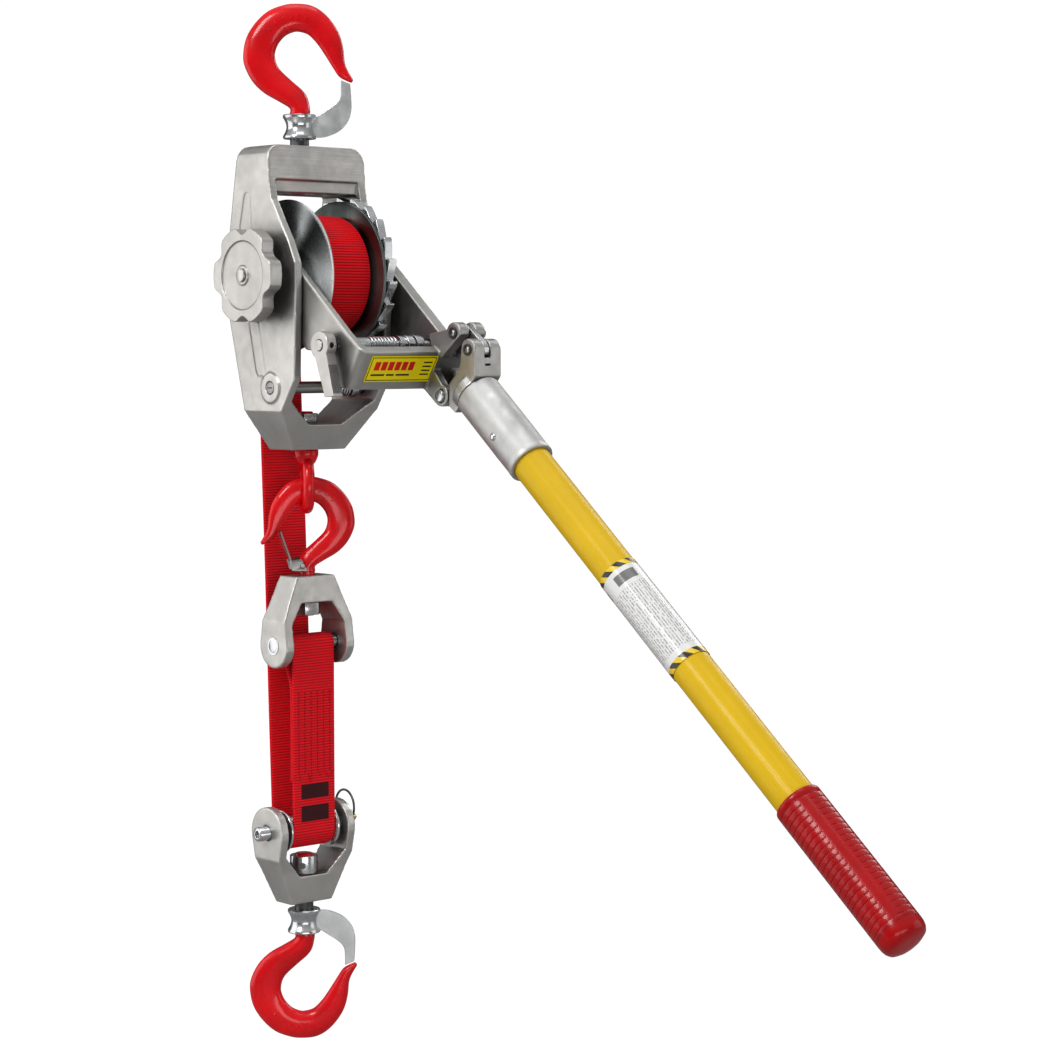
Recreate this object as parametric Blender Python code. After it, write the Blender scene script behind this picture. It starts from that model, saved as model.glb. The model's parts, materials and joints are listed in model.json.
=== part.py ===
"""Web-strap ratchet lever hoist, built in millimetres and scaled to metres at the end.

It hangs along Z with the top hook up. The drum axis runs along X, with +X called right.
The handle slopes out to -Y and down, to the right of the centre plane.
"""
import bpy
import bmesh
import math
from mathutils import Vector, Matrix

MM = 0.001
CENTRE = Vector((-2.35, -293.4542, -212.55))    # model point that becomes the world origin
X_AXIS, Y_AXIS, Z_AXIS = Vector((1, 0, 0)), Vector((0, 1, 0)), Vector((0, 0, 1))
PIN_GAP = 0.3    # radial clearance of most bores

# Driving dimensions; a pair is (y, z) of an axis parallel to X
DRUM_Y = -17.6
DRUM = (DRUM_Y, 0)
SHAFT_R = 10.0
SHAFT_BORE = SHAFT_R + PIN_GAP
STRAP_HALF, STRAP_T = 22.2, 2.5
TEETH, TIP_R, ROOT_R = 22, 67.5, 61.5
TOOTH_PITCH = 360.0 / TEETH
STOP_FACE = 282.0    # degrees round the drum axis, from +Y towards +Z
DRIVE_FACE = STOP_FACE - 3 * TOOTH_PITCH
STOP_PIVOT, STOP_PIN_R = (-26.4, -92.7), 5
DRIVE_PIVOT, DRIVE_PIN_R = (-100.5, -57.3), 4.5
CHEEK_OUT, CHEEK_IN = 51.0, 43.4
HOOK_SHANK_R = 7.85
EYE_Y, EYE_STEM_R = -6.5, 6
ANCHOR_Y = -7.0
CROSS_PIN_R = 6
ANCHOR_PIN = (ANCHOR_Y, -311.0)
BLOCK_PIN = (0, -471.0)
KNUCKLE_X = 52.0
KNUCKLE_HALF, SLOT_HALF = 14, 3.3
LINK_UPPER, LINK_LOWER, LINK_PIN_R = (-154.7, -47.4), (-172.8, -60.9), 3
HANDLE_PIVOT, HANDLE_PIN_R = (-138.4, -98.8), 5

for ob in list(bpy.data.objects):
    bpy.data.objects.remove(ob, do_unlink=True)

# Material: base colour, metallic, roughness
LOOKS = {
    "cast_aluminium": ((0.62, 0.60, 0.56), 0.9, 0.42),
    "zinc_steel": ((0.56, 0.57, 0.58), 1.0, 0.32),
    "dark_steel": ((0.10, 0.10, 0.11), 0.9, 0.40),
    "red_paint": ((0.55, 0.01, 0.01), 0.0, 0.16),
    "red_webbing": ((0.42, 0.015, 0.02), 0.0, 0.80),
    "yellow_glass_fibre": ((0.80, 0.52, 0.02), 0.0, 0.22),
    "yellow_label": ((0.78, 0.55, 0.05), 0.0, 0.40),
    "white_label": ((0.80, 0.80, 0.78), 0.0, 0.35),
    "red_vinyl": ((0.36, 0.005, 0.01), 0.0, 0.28),
    "brass": ((0.72, 0.52, 0.22), 1.0, 0.30),
}


def make_material(name, colour, metallic, roughness):
    mat = bpy.data.materials.new(name)
    mat.use_nodes = True
    shader = mat.node_tree.nodes["Principled BSDF"]
    shader.inputs["Base Color"].default_value = (*colour, 1)
    shader.inputs["Metallic"].default_value = metallic
    shader.inputs["Roughness"].default_value = roughness
    mat.diffuse_color = (*colour, 1)
    return mat


MATERIALS = {name: make_material(name, *look) for name, look in LOOKS.items()}


# ---- outlines ----
def arc(centre, radius, start, end, steps):
    angles = [math.radians(start + (end - start) * i / steps) for i in range(steps + 1)]
    return [(centre[0] + radius * math.cos(a), centre[1] + radius * math.sin(a)) for a in angles]


def drum_polar(radius, degrees):
    angle = math.radians(degrees)
    return (DRUM_Y + radius * math.cos(angle), radius * math.sin(angle))


def stadium(first, last, radius, steps=8):
    """Outline round two points, with a half circle at each end."""
    turn = math.degrees(math.atan2(last[1] - first[1], last[0] - first[0]))
    return (arc(last, radius, turn - 90, turn + 90, steps)
            + arc(first, radius, turn + 90, turn + 270, steps))


# ---- solids ----
def make(verts, faces):
    mesh = bpy.data.meshes.new("solid")
    mesh.from_pydata([tuple(v) for v in verts], [], faces)
    bm = bmesh.new()
    bm.from_mesh(mesh)
    bmesh.ops.recalc_face_normals(bm, faces=bm.faces[:])
    bm.to_mesh(mesh)
    bm.free()
    ob = bpy.data.objects.new("solid", mesh)
    bpy.context.scene.collection.objects.link(ob)
    return ob


def loft(rings, closed=False):
    """Skin equal rings of points; an open loft gets an end cap at each end."""
    size, count = len(rings[0]), len(rings)
    faces = []
    for a in range(count if closed else count - 1):
        b = (a + 1) % count
        for i in range(size):
            j = (i + 1) % size
            faces.append((a * size + i, a * size + j, b * size + j, b * size + i))
    if not closed:
        faces += [tuple(range(size))[::-1], tuple(range((count - 1) * size, count * size))]
    return make([point for ring in rings for point in ring], faces)


def prism(outline, start, end, origin=(0, 0, 0), u_axis=Y_AXIS, v_axis=Z_AXIS):
    """Extrude a (u, v) outline from start to end along u x v; by default (y, z) along X."""
    origin, u_axis, v_axis = Vector(origin), u_axis.normalized(), v_axis.normalized()
    normal = u_axis.cross(v_axis)
    size = len(outline)
    verts = [origin + u_axis * u + v_axis * v + normal * h
             for h in (start, end) for u, v in outline]
    faces = [tuple(range(size))[::-1], tuple(range(size, 2 * size))]
    faces += [(i, (i + 1) % size, size + (i + 1) % size, size + i) for i in range(size)]
    return make(verts, faces)


def front_prism(outline, half_depth, y=0):
    """Extrude an (x, z) outline equally both ways along Y."""
    return prism(outline, -half_depth, half_depth, (0, y, 0), X_AXIS, Z_AXIS)


def box(x0, x1, y0, y1, z0, z1):
    return prism([(y0, z0), (y1, z0), (y1, z1), (y0, z1)], x0, x1)


def revolve(profile, origin, axis, segments=28, closed=False):
    """Turn a profile of (radius, distance along axis); radius 0 makes a single pole point."""
    origin, axis = Vector(origin), Vector(axis).normalized()
    side = axis.orthogonal().normalized()
    other = axis.cross(side)
    rings, verts, faces = [], [], []
    for radius, along in profile:
        if radius < 1e-6:
            rings.append([len(verts)])
            verts.append(origin + axis * along)
            continue
        rings.append(list(range(len(verts), len(verts) + segments)))
        for i in range(segments):
            t = 2 * math.pi * i / segments
            radial = side * math.cos(t) + other * math.sin(t)
            verts.append(origin + axis * along + radial * radius)
    for low, high in zip(rings, rings[1:] + ([rings[0]] if closed else [])):
        for i in range(segments):
            j = (i + 1) % segments
            if len(low) == 1:
                faces.append((low[0], high[i], high[j]))
            elif len(high) == 1:
                faces.append((low[i], low[j], high[0]))
            else:
                faces.append((low[i], low[j], high[j], high[i]))
    return make(verts, faces)


def cylinder(origin, axis, radius, start, end, segments=28):
    return revolve([(0, start), (radius, start), (radius, end), (0, end)], origin, axis, segments)


def tube(origin, axis, inner, outer, start, end, segments=28):
    profile = [(inner, start), (outer, start), (outer, end), (inner, end)]
    return revolve(profile, origin, axis, segments, True)


def turned(yz, profile, segments=28, closed=False):
    """Revolve a profile about the line parallel to X through (y, z)."""
    return revolve(profile, (0, *yz), X_AXIS, segments, closed)


def rod(yz, radius, start, end, segments=28):
    return cylinder((0, *yz), X_AXIS, radius, start, end, segments)


def sleeve(yz, inner, outer, start, end, segments=28):
    return tube((0, *yz), X_AXIS, inner, outer, start, end, segments)


def upright(y, radius, bottom, top, segments):
    return cylinder((0, y, 0), Z_AXIS, radius, bottom, top, segments)


def hex_nut(y, bore, corner_radius, bottom, top):
    return cut(upright(y, corner_radius, bottom, top, 6),
               upright(y, bore, bottom - 5, top + 5, 20))


def sweep(path, radius, segments=8, closed=False, up=X_AXIS):
    rings = []
    count = len(path)
    for i, point in enumerate(path):
        before = path[(i - 1) % count] if closed or i else path[0]
        after = path[(i + 1) % count] if closed or i < count - 1 else path[-1]
        tangent = (after - before).normalized()
        side = tangent.cross(up).normalized()
        other = side.cross(tangent)
        angles = [2 * math.pi * k / segments for k in range(segments)]
        rings.append([point + (side * math.cos(t) + other * math.sin(t)) * radius
                      for t in angles])
    return loft(rings, closed)


def coil_spring(centre, radius, start, end, turns, wire=0.9, steps=14):
    path = []
    for i in range(turns * steps + 1):
        t = 2 * math.pi * i / steps
        path.append(Vector((start + (end - start) * i / (turns * steps),
                            centre[0] + radius * math.cos(t), centre[1] + radius * math.sin(t))))
    return sweep(path, wire, 6)


# ---- booleans and finishing ----
def boolean(body, tools, operation):
    """Apply each tool to the body in turn and remove it."""
    for tool in tools:
        mod = body.modifiers.new("boolean", "BOOLEAN")
        mod.operation = operation
        mod.object = tool
        mod.solver = "EXACT"
        bpy.context.view_layer.update()
        depsgraph = bpy.context.evaluated_depsgraph_get()
        mesh = bpy.data.meshes.new_from_object(body.evaluated_get(depsgraph))
        body.modifiers.clear()
        body.data = mesh
        bpy.data.objects.remove(tool, do_unlink=True)
    return body


def cut(body, *tools):
    return boolean(body, tools, "DIFFERENCE")


def join(body, *tools):
    return boolean(body, tools, "UNION")


def common(body, *tools):
    return boolean(body, tools, "INTERSECT")


def part(name, ob, material):
    """Name, clean and triangulate a solid, then move it to metres about CENTRE."""
    mesh = ob.data
    ob.name = name
    mesh.name = name
    bm = bmesh.new()
    bm.from_mesh(mesh)
    bmesh.ops.remove_doubles(bm, verts=bm.verts[:], dist=0.002)
    bmesh.ops.dissolve_limit(bm, angle_limit=math.radians(0.3),
                             verts=bm.verts[:], edges=bm.edges[:])
    bmesh.ops.triangulate(bm, faces=bm.faces[:])
    bmesh.ops.recalc_face_normals(bm, faces=bm.faces[:])
    bm.to_mesh(mesh)
    bm.free()
    mesh.transform(Matrix.Scale(MM, 4) @ Matrix.Translation(-CENTRE))
    mesh.materials.clear()
    mesh.materials.append(MATERIALS[material])
    for face in mesh.polygons:
        face.use_smooth = False


# ---- frame casting ----
FRAME_TOP, FRAME_BOTTOM, FRAME_CORNER_R = 108.8, -145.4, 12
BUSH_OUT = 60.5
STRIP_FACE, STRIP_HEIGHT = 51.9, 1.9
# (y, z); top and bottom overrun the front outline, which trims them
FRAME_SIDE = [
    (18.7, 110), (35.7, 12.8), (36.6, -19.6), (12.8, -109.2), (8, -146), (-24.5, -146),
    (-38.3, -114.8), (-57, -87), (-58, -83), (-60.4, -12.8), (-60.3, 10.2), (-51.3, 28),
    (-38.8, 46.8), (-28, 63.8), (-25.5, 75.7), (-22.8, 110)]
# (x, z) opening between the cheeks
FRAME_WINDOW = [(CHEEK_IN, 69.3), (-CHEEK_IN, 69.3), (-CHEEK_IN, -104), (-17, -123.5),
                (17, -123.5), (CHEEK_IN, -104)]
# (y, z) raised strips on the outer cheek faces
UPPER_STRIP = [(1.5, 67), (4.5, 69.5), (8, 68), (15, 40), (13, 37), (-1, 37)]
LOWER_STRIP = [(3, -38), (-9, -38), (-19, -80), (-17, -82.5), (-9, -82.5), (-6.5, -78)]


def frame_casting():
    corner_x, corner_z = CHEEK_OUT - FRAME_CORNER_R, FRAME_TOP - FRAME_CORNER_R
    front = (arc((corner_x, corner_z), FRAME_CORNER_R, 0, 90, 4)
             + arc((-corner_x, corner_z), FRAME_CORNER_R, 90, 180, 4)
             + [(-CHEEK_OUT, -112), (-28, FRAME_BOTTOM), (28, FRAME_BOTTOM), (CHEEK_OUT, -112)])
    frame = common(prism(FRAME_SIDE, -60, 60), front_prism(front, 80))
    frame = cut(frame, front_prism(FRAME_WINDOW, 90),
                box(-CHEEK_IN, CHEEK_IN, -70, -22.4, 60, 80))
    # Bosses for the drum shaft and the stop pawl shaft
    frame = join(frame, rod(DRUM, 20, -BUSH_OUT, -50),
                 rod(STOP_PIVOT, 12.5, -53, -50), rod(STOP_PIVOT, 12.5, 50, 53))
    # Bores for the two shafts, the top nut and shank, and the swivel eye
    frame = cut(frame, rod(DRUM, 14.2, -70, 70), rod(STOP_PIVOT, STOP_PIN_R + PIN_GAP, -70, 70, 20),
                upright(0, 15, 60, 84, 24), upright(0, 8.2, 80, 120, 24),
                upright(EYE_Y, 6.4, -160, -110, 20))
    for start in (-STRIP_FACE, STRIP_FACE - STRIP_HEIGHT):
        for strip in (UPPER_STRIP, LOWER_STRIP):
            frame = join(frame, prism(strip, start, start + STRIP_HEIGHT))
    return frame


part("frame_casting", frame_casting(), "cast_aluminium")
part("left_shaft_bush", sleeve(DRUM, SHAFT_BORE, 13.9, -BUSH_OUT, -CHEEK_IN), "brass")
part("right_shaft_bush", sleeve(DRUM, SHAFT_BORE, 13.9, CHEEK_IN, CHEEK_OUT), "brass")

# ---- top and bottom hooks ----
TOP_COLLAR, BOTTOM_COLLAR = 136.9, -562.0
TOP_SHANK_END, BOTTOM_SHANK_END = 71, -492.5
HOOK_BORE = HOOK_SHANK_R + PIN_GAP
# Stations from the collar: first edge (reach, rise), opposite edge (reach, rise), half thickness
HOOK = [
    (-8.245, 0, 8.755, 0, 8.5), (-8.245, 4.76, 9.095, 3.655, 8.6),
    (-16.915, 10.2, 6.97, 13.43, 8.4), (-29.92, 17.765, 2.635, 19.89, 8.0),
    (-39.695, 27.54, -6.035, 27.54, 7.6), (-46.155, 40.545, -17, 38.25, 7.5),
    (-47.005, 51.34, -20.315, 48.45, 7.5), (-44.03, 64.345, -18.275, 56.95, 7.5),
    (-36.38, 76.33, -13.6, 63.325, 7.5), (-25.585, 86.02, -9.265, 66.555, 7.5),
    (-12.58, 90.95, -4.25, 68.425, 7.5), (-2.805, 92.055, -0.595, 68.68, 7.5),
    (9.095, 90.95, 4.25, 67.66, 7.4), (18.87, 86.02, 8.075, 65.96, 7.2),
    (27.54, 77.35, 11.9, 62.475, 6.8), (34.085, 66.555, 16.575, 56.95, 6.4),
    (37.315, 54.655, 22.525, 48.025, 5.8), (38.42, 43.775, 28.645, 38.335, 5.0),
    (40.545, 37.23, 34.085, 30.77, 4.4), (44.88, 29.665, 42.755, 26.435, 3.2)]
# (radius, rise) of the gate collar, and (reach, rise) of its arm
GATE_COLLAR = [(8.3, -21), (13.8, -21), (14, -16.5), (11.8, -13), (11.8, -8), (14, -4.5),
               (13.8, -0.6), (8.3, -0.6)]
GATE_ARM = [
    (10.2, -3.4), (13.6, -2.55), (22.1, 2.55), (31.875, 9.35), (34.85, 15.3), (34.85, 28.56),
    (42.33, 25.415), (43.605, 24.99), (43.775, 2.55), (40.8, -6.8), (33.15, -14.45),
    (22.1, -19.125), (14.45, -19.55), (10.2, -17.85)]


def heading(degrees):
    """Level direction turned from +X towards -Y."""
    return Vector((math.cos(math.radians(degrees)), -math.sin(math.radians(degrees)), 0))


def hook(collar, up, reach, shank_length, shank_r, scale=1, segments=12):
    """Loft a hook whose tip lies on the reach side; scale sizes the part past the collar."""
    normal = reach.cross(up).normalized()

    def section(centre, half_width, half_thick):
        angles = [2 * math.pi * i / segments for i in range(segments)]
        return [centre + half_width * math.cos(t) + normal * half_thick * math.sin(t)
                for t in angles]

    rings = []
    for drop, radius in ((shank_length, shank_r - 0.8), (shank_length - 1, shank_r),
                         (0.4, shank_r)):
        rings.append(section(collar - up * drop, reach * -radius, radius))
    for *edges, half_thick in HOOK:
        u0, v0, u1, v1 = [value * scale for value in edges]
        centre = collar + reach * ((u0 + u1) / 2) + up * ((v0 + v1) / 2)
        half_width = reach * ((u0 - u1) / 2) + up * ((v0 - v1) / 2)
        rings.append(section(centre, half_width, half_thick * scale))
    return loft(rings)


def gate(collar, up, reach):
    return join(revolve(GATE_COLLAR, collar, up, 28, True),
                prism(GATE_ARM, -1.5, 1.5, collar, reach, up))


HOOK_REACH = heading(42.0)
for end, collar_z, shank_end, up in (("top", TOP_COLLAR, TOP_SHANK_END, Z_AXIS),
                                     ("bottom", BOTTOM_COLLAR, BOTTOM_SHANK_END, -Z_AXIS)):
    collar = Vector((0, 0, collar_z))
    shank_length = abs(collar_z - shank_end)
    part(end + "_hook", hook(collar, up, HOOK_REACH, shank_length, HOOK_SHANK_R), "red_paint")
    part(end + "_gate", gate(collar, up, HOOK_REACH), "zinc_steel")
part("top_hook_nut", hex_nut(0, HOOK_BORE, 14, 70, 83.5), "zinc_steel")
part("bottom_hook_nut", tube((0, 0, 0), Z_AXIS, HOOK_BORE, 12, -509.6, -494, 24), "zinc_steel")

# ---- drum ----
COIL_R, CORE_R, FLANGE_R = 49.0, 22.0, 63.75
KNOB_STEPS, KNOB_LOBES, KNOB_R, KNOB_DIP = 84, 6, 40, 6.5
# (radius, x); the left end steps down into the knob
SHAFT_PROFILE = [(0, -69.6), (HOOK_SHANK_R, -69.6), (HOOK_SHANK_R, -61.2), (SHAFT_R, -61.2),
                 (SHAFT_R, 70.5), (9, 71.5), (0, 71.5)]
SCREW_PROFILE = [(0, -74.3), (5.5, -74.3), (5.5, -76), (4, -77.2), (0, -77.2)]


def ratchet_wheel():
    teeth = []
    for k in range(TEETH):
        t = STOP_FACE + k * TOOTH_PITCH
        teeth += [drum_polar(ROOT_R, t), drum_polar(TIP_R, t),
                  drum_polar(TIP_R, t + 0.1 * TOOTH_PITCH),
                  drum_polar((TIP_R + ROOT_R) / 2 - 0.3, t + 0.55 * TOOTH_PITCH)]
    return cut(prism(teeth, 29, 37), rod(DRUM, SHAFT_BORE, 20, 45))


def star_knob():
    star = []
    for k in range(KNOB_STEPS):
        angle = 360 * k / KNOB_STEPS
        dip = max(0.0, -math.cos(math.radians(KNOB_LOBES * angle))) ** 1.2
        star.append(drum_polar(KNOB_R - KNOB_DIP * dip, angle))
    # Blind bore from the right, shallow ring recess in the left face
    return cut(prism(star, -74, -62), rod(DRUM, HOOK_BORE, -70, -60),
               sleeve(DRUM, 8, 28.6, -75, -72.4, 36))


part("drum_shaft", turned(DRUM, SHAFT_PROFILE), "zinc_steel")
part("drum_core", sleeve(DRUM, SHAFT_BORE, CORE_R, -24.7, 25.2), "dark_steel")
part("strap_coil", sleeve(DRUM, CORE_R + 0.3, COIL_R, -STRAP_HALF, STRAP_HALF, 40), "red_webbing")
part("left_flange", sleeve(DRUM, SHAFT_BORE, FLANGE_R, -27.5, -25, 48), "zinc_steel")
part("right_flange", sleeve(DRUM, SHAFT_BORE, FLANGE_R, 25.5, 28.5, 48), "zinc_steel")
part("ratchet_wheel", ratchet_wheel(), "zinc_steel")
part("star_knob", star_knob(), "cast_aluminium")
part("knob_screw", turned(DRUM, SCREW_PROFILE, 16), "zinc_steel")
part("shaft_retaining_ring", sleeve(DRUM, SHAFT_BORE, 13, 68.6, 70), "dark_steel")

# ---- yoke: two arms on the drum shaft joined by a bar ----
YOKE_EYE_R = 26.5
YOKE_BORE = SHAFT_R + 0.4
BAR_TOP, BAR_BOTTOM = (-137.7, -62.9), (-119, -93.5)    # (y, z) ends of the bar's outer face
# (y, z) outlines
YOKE_ARM = ([(DRUM_Y, YOKE_EYE_R)] + arc(DRUM, YOKE_EYE_R, 95, 130, 3)
            + [(-115.6, -46.8), BAR_TOP, BAR_BOTTOM, (-108.8, -91.8), (-98.6, -86.7),
               (-91.8, -78.2), (-88.4, -62.9), (-62, -61.2)]
            + arc(DRUM, YOKE_EYE_R, 250, 450, 12)[:-1])
YOKE_BAR = [BAR_TOP, BAR_BOTTOM, (-110.5, -91.0), (-126.8, -63.2), (-130.2, -57.5)]
LINK_LUG = arc(LINK_UPPER, 9, 20, 190, 8) + [(-139, -68), (-127, -62), (-124, -48)]
PIVOT_LUG = [(-128, -76), (-139.5, -89)] + arc(HANDLE_PIVOT, 9, 110, 300, 8) + [(-116, -93)]
# (x, height off the bar face) of the relief at the bar's left end
BAR_RELIEF = [(-44, 3), (-34.5, 3)] + arc((-34.5, -8), 8, 90, 180, 6) + [(-44, -8)]
# (x, distance down the bar face)
LABEL_OUTLINE = [(-34, 5), (22, 5), (28, 28), (-28, 28)]
LABEL_GAP, LABEL_T = 0.21467, 0.4
BAR_ORIGIN = (0, *BAR_TOP)
BAR_DOWN = Vector((0, BAR_BOTTOM[0] - BAR_TOP[0], BAR_BOTTOM[1] - BAR_TOP[1]))
BAR_OUT = Vector((0, BAR_DOWN.z, -BAR_DOWN.y))


def centred(half):
    """X span centred on the knuckle."""
    return (KNUCKLE_X - half, KNUCKLE_X + half)


def yoke_casting():
    yoke = join(prism(YOKE_ARM, -42.5, -35), prism(YOKE_BAR, -40, 60),
                prism(YOKE_ARM, 56, 67.5))
    left, right = centred(KNUCKLE_HALF)
    for lug, gap in ((LINK_LUG, SLOT_HALF), (PIVOT_LUG, 6)):
        gap_left, gap_right = centred(gap)
        yoke = join(yoke, prism(lug, left, gap_left), prism(lug, gap_right, right))
    yoke = cut(yoke, prism(BAR_RELIEF, -60, 60, BAR_ORIGIN, X_AXIS, BAR_OUT))
    return cut(yoke, rod(DRIVE_PIVOT, DRIVE_PIN_R + PIN_GAP, -70, 64.5, 20),
               rod(LINK_UPPER, LINK_PIN_R + PIN_GAP, 30, 70, 16),
               rod(HANDLE_PIVOT, HANDLE_PIN_R + PIN_GAP, 30, 70, 16),
               rod(DRUM, YOKE_BORE, 50, 70), rod(DRUM, YOKE_BORE, -45, -30))


part("yoke_casting", yoke_casting(), "cast_aluminium")
part("yoke_label", prism(LABEL_OUTLINE, -LABEL_GAP - LABEL_T, -LABEL_GAP,
                         BAR_ORIGIN, X_AXIS, BAR_DOWN), "yellow_label")

# ---- pawls ----
DRIVE_BORE, STOP_BORE = DRIVE_PIN_R + PIN_GAP, STOP_PIN_R + PIN_GAP
LEVER_SPAN = (-58, -48.5)
SCREW_ORIGIN, SCREW_R = (-53.2, *DRIVE_PIVOT), 2.1
LEVER_ARM = [(-93.2, -61), (-108.4, -59.5), (-119.6, -99), (-118, -101.8), (-111, -103.6),
             (-108.6, -102)]    # (y, z)


def pawl(pivot, bore, eye, face, nose, lift):
    """Pawl with an eye arc at its pivot, turned by lift degrees off its seat.

    nose holds three (radius, degrees short of the tooth face) points about the drum.
    """
    first, second, last = [drum_polar(radius, face - back) for radius, back in nose]
    body = cut(prism([first, second] + eye + [last], 29.4, 36.6), rod(pivot, bore, 20, 45, 20))
    centre = Vector((0, *pivot))
    body.data.transform(Matrix.Translation(centre)
                        @ Matrix.Rotation(math.radians(-lift), 4, "X")
                        @ Matrix.Translation(-centre))
    return body


def selector_lever():
    lever = join(rod(DRIVE_PIVOT, 8.5, *LEVER_SPAN, 24), prism(LEVER_ARM, *LEVER_SPAN))
    return cut(lever, rod(DRIVE_PIVOT, DRIVE_BORE, -70, -40, 20),
               cylinder(SCREW_ORIGIN, -Y_AXIS, SCREW_R + PIN_GAP, 3, 12, 12))


part("drive_pawl", pawl(DRIVE_PIVOT, DRIVE_BORE, arc(DRIVE_PIVOT, 8.5, -60, -265, 10),
                        DRIVE_FACE, [(63.6, 4.2), (71, 3.0), (65.4, 8)], 11.0), "zinc_steel")
part("drive_pawl_shaft", rod(DRIVE_PIVOT, DRIVE_PIN_R, -59.5, 64, 20), "zinc_steel")
part("selector_lever", selector_lever(), "cast_aluminium")
part("lever_set_screw", cylinder(SCREW_ORIGIN, -Y_AXIS, SCREW_R, 4.9, 8, 12), "dark_steel")
part("pawl_collar", sleeve(DRIVE_PIVOT, DRIVE_BORE, 8, 22, 28.8, 20), "zinc_steel")
part("drive_pawl_spring", coil_spring(DRIVE_PIVOT, 6.4, -8, 20, 6), "zinc_steel")
part("stop_pawl", pawl(STOP_PIVOT, STOP_BORE, arc(STOP_PIVOT, 9, 0, -215, 10),
                       STOP_FACE, [(63.6, 3.6), (71, 2.4), (65.2, 7.5)], 12.0), "zinc_steel")
part("stop_pawl_shaft", rod(STOP_PIVOT, STOP_PIN_R, -52.6, 52.6, 20), "zinc_steel")
part("stop_pawl_spring", coil_spring(STOP_PIVOT, 7.2, 14, 28, 4), "zinc_steel")

# ---- knuckle ----
PIN_HEAD_X = 66.3
LINK_BORE = LINK_PIN_R + PIN_GAP
# (radius, x)
LINK_PIN = [(0, 37), (LINK_PIN_R, 37), (LINK_PIN_R, PIN_HEAD_X), (5.5, PIN_HEAD_X),
            (5.5, 68.5), (4.5, 69.3), (0, 69.3)]
PIVOT_PIN = [(0, 36), (HANDLE_PIN_R, 36), (HANDLE_PIN_R, PIN_HEAD_X), (8, PIN_HEAD_X),
             (8, 68.3), (0, 68.3)]


def pivot_pin():
    """Headed pin with a square block on the head."""
    y, z = HANDLE_PIVOT
    return join(turned(HANDLE_PIVOT, PIVOT_PIN, 16), box(68, 72.5, y - 4, y + 4, z - 4, z + 4))


part("fuse_link", cut(prism(stadium(LINK_UPPER, LINK_LOWER, 7.5), *centred(2.9)),
                      rod(LINK_UPPER, LINK_BORE, 40, 60, 16),
                      rod(LINK_LOWER, LINK_BORE, 40, 60, 16)), "zinc_steel")
part("link_pin_upper", turned(LINK_UPPER, LINK_PIN, 16), "zinc_steel")
part("link_pin_lower", turned(LINK_LOWER, LINK_PIN, 16), "zinc_steel")
part("pivot_pin", pivot_pin(), "zinc_steel")

# ---- handle; distances run from its root along its axis ----
HANDLE = (Vector((KNUCKLE_X, -169.6, -97.5)), Vector((0, -0.7727, -0.6347)).normalized())
RIVET = HANDLE[0] + HANDLE[1] * 52
ROD_R = 16.25
# (y, z) outlines
HEAD = ([(-182, -82.4)] + arc(LINK_LOWER, 9, 180, 30, 8)
        + [(-163, -72), (-160.5, -78), (-149, -89), (-148.6, -107), (-157.2, -112.6)])
HEAD_SLOT = arc(LINK_LOWER, 11, -60, 240, 10) + [(-184, -74), (-166, -74)]
HEAD_TONGUE = [(-155, -84), (-155, -112)] + arc(HANDLE_PIVOT, 9, -110, 110, 8)
# (radius, distance)
SOCKET = [(16.6, 0.2), (18.6, 0.2), (19.5, 1.2), (19.5, 84), (18.8, 85), (16.6, 85)]
GRIP = [(0, 588.5), (16.55, 588.5), (16.55, 457), (18, 457), (18.8, 459), (18.8, 585),
        (17.6, 590), (14, 592.6), (8, 593.6), (0, 593.8)]


def handle_head():
    head = cut(prism(HEAD, *centred(KNUCKLE_HALF)), prism(HEAD_SLOT, *centred(SLOT_HALF)))
    head = join(head, prism(HEAD_TONGUE, *centred(5.6)), cylinder(*HANDLE, 19.2, -9, -0.1, 32))
    return cut(head, rod(LINK_LOWER, LINK_BORE, 30, 75, 16),
               rod(HANDLE_PIVOT, HANDLE_PIN_R + PIN_GAP, 30, 75, 16))


part("handle_head", handle_head(), "cast_aluminium")
part("handle_socket", cut(revolve(SOCKET, *HANDLE, 32, True),
                          cylinder(RIVET, -X_AXIS, 3.6, 10, 25, 16)), "cast_aluminium")
part("socket_rivet", cylinder(RIVET, -X_AXIS, 3.2, 16.7, 20.2, 16), "dark_steel")
part("handle_rod", cylinder(*HANDLE, ROD_R, 1.5, 588, 32), "yellow_glass_fibre")
part("handle_label", tube(*HANDLE, ROD_R + 0.3, ROD_R + 0.7, 214, 317, 32), "white_label")
part("handle_grip", revolve(GRIP, *HANDLE, 32), "red_vinyl")

# ---- anchor: swivel eye, hook and latch ----
ANCHOR_TURN = 30.0
EYE_NORMAL = heading(ANCHOR_TURN)
EYE_ACROSS = heading(ANCHOR_TURN - 90)
ANCHOR_REACH = -EYE_NORMAL
ANCHOR_COLLAR = Vector((0, ANCHOR_Y, -249.0))
ANCHOR_SHANK_R, ANCHOR_SCALE = 6.6, 0.87
LATCH_PIN_R = 2.0
LATCH_PIVOT = ANCHOR_COLLAR + ANCHOR_REACH * 5 + Z_AXIS * 5
LATCH_AXIS = ANCHOR_REACH.cross(Z_AXIS)
# (radius, z)
EYE_STEM = [(0, -159), (8, -158), (10.5, -153), (10.5, -146), (EYE_STEM_R, -146),
            (EYE_STEM_R, -113.5), (0, -113.5)]
# (reach, rise) from the anchor collar
LATCH_TONGUE = [(12.8, 2), (24, 33.8), (22.8, 34.2), (11.6, 2.4)]
LATCH_CHEEK = [(1, 0.5), (14, 1), (16.5, 9), (6, 11)]


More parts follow.
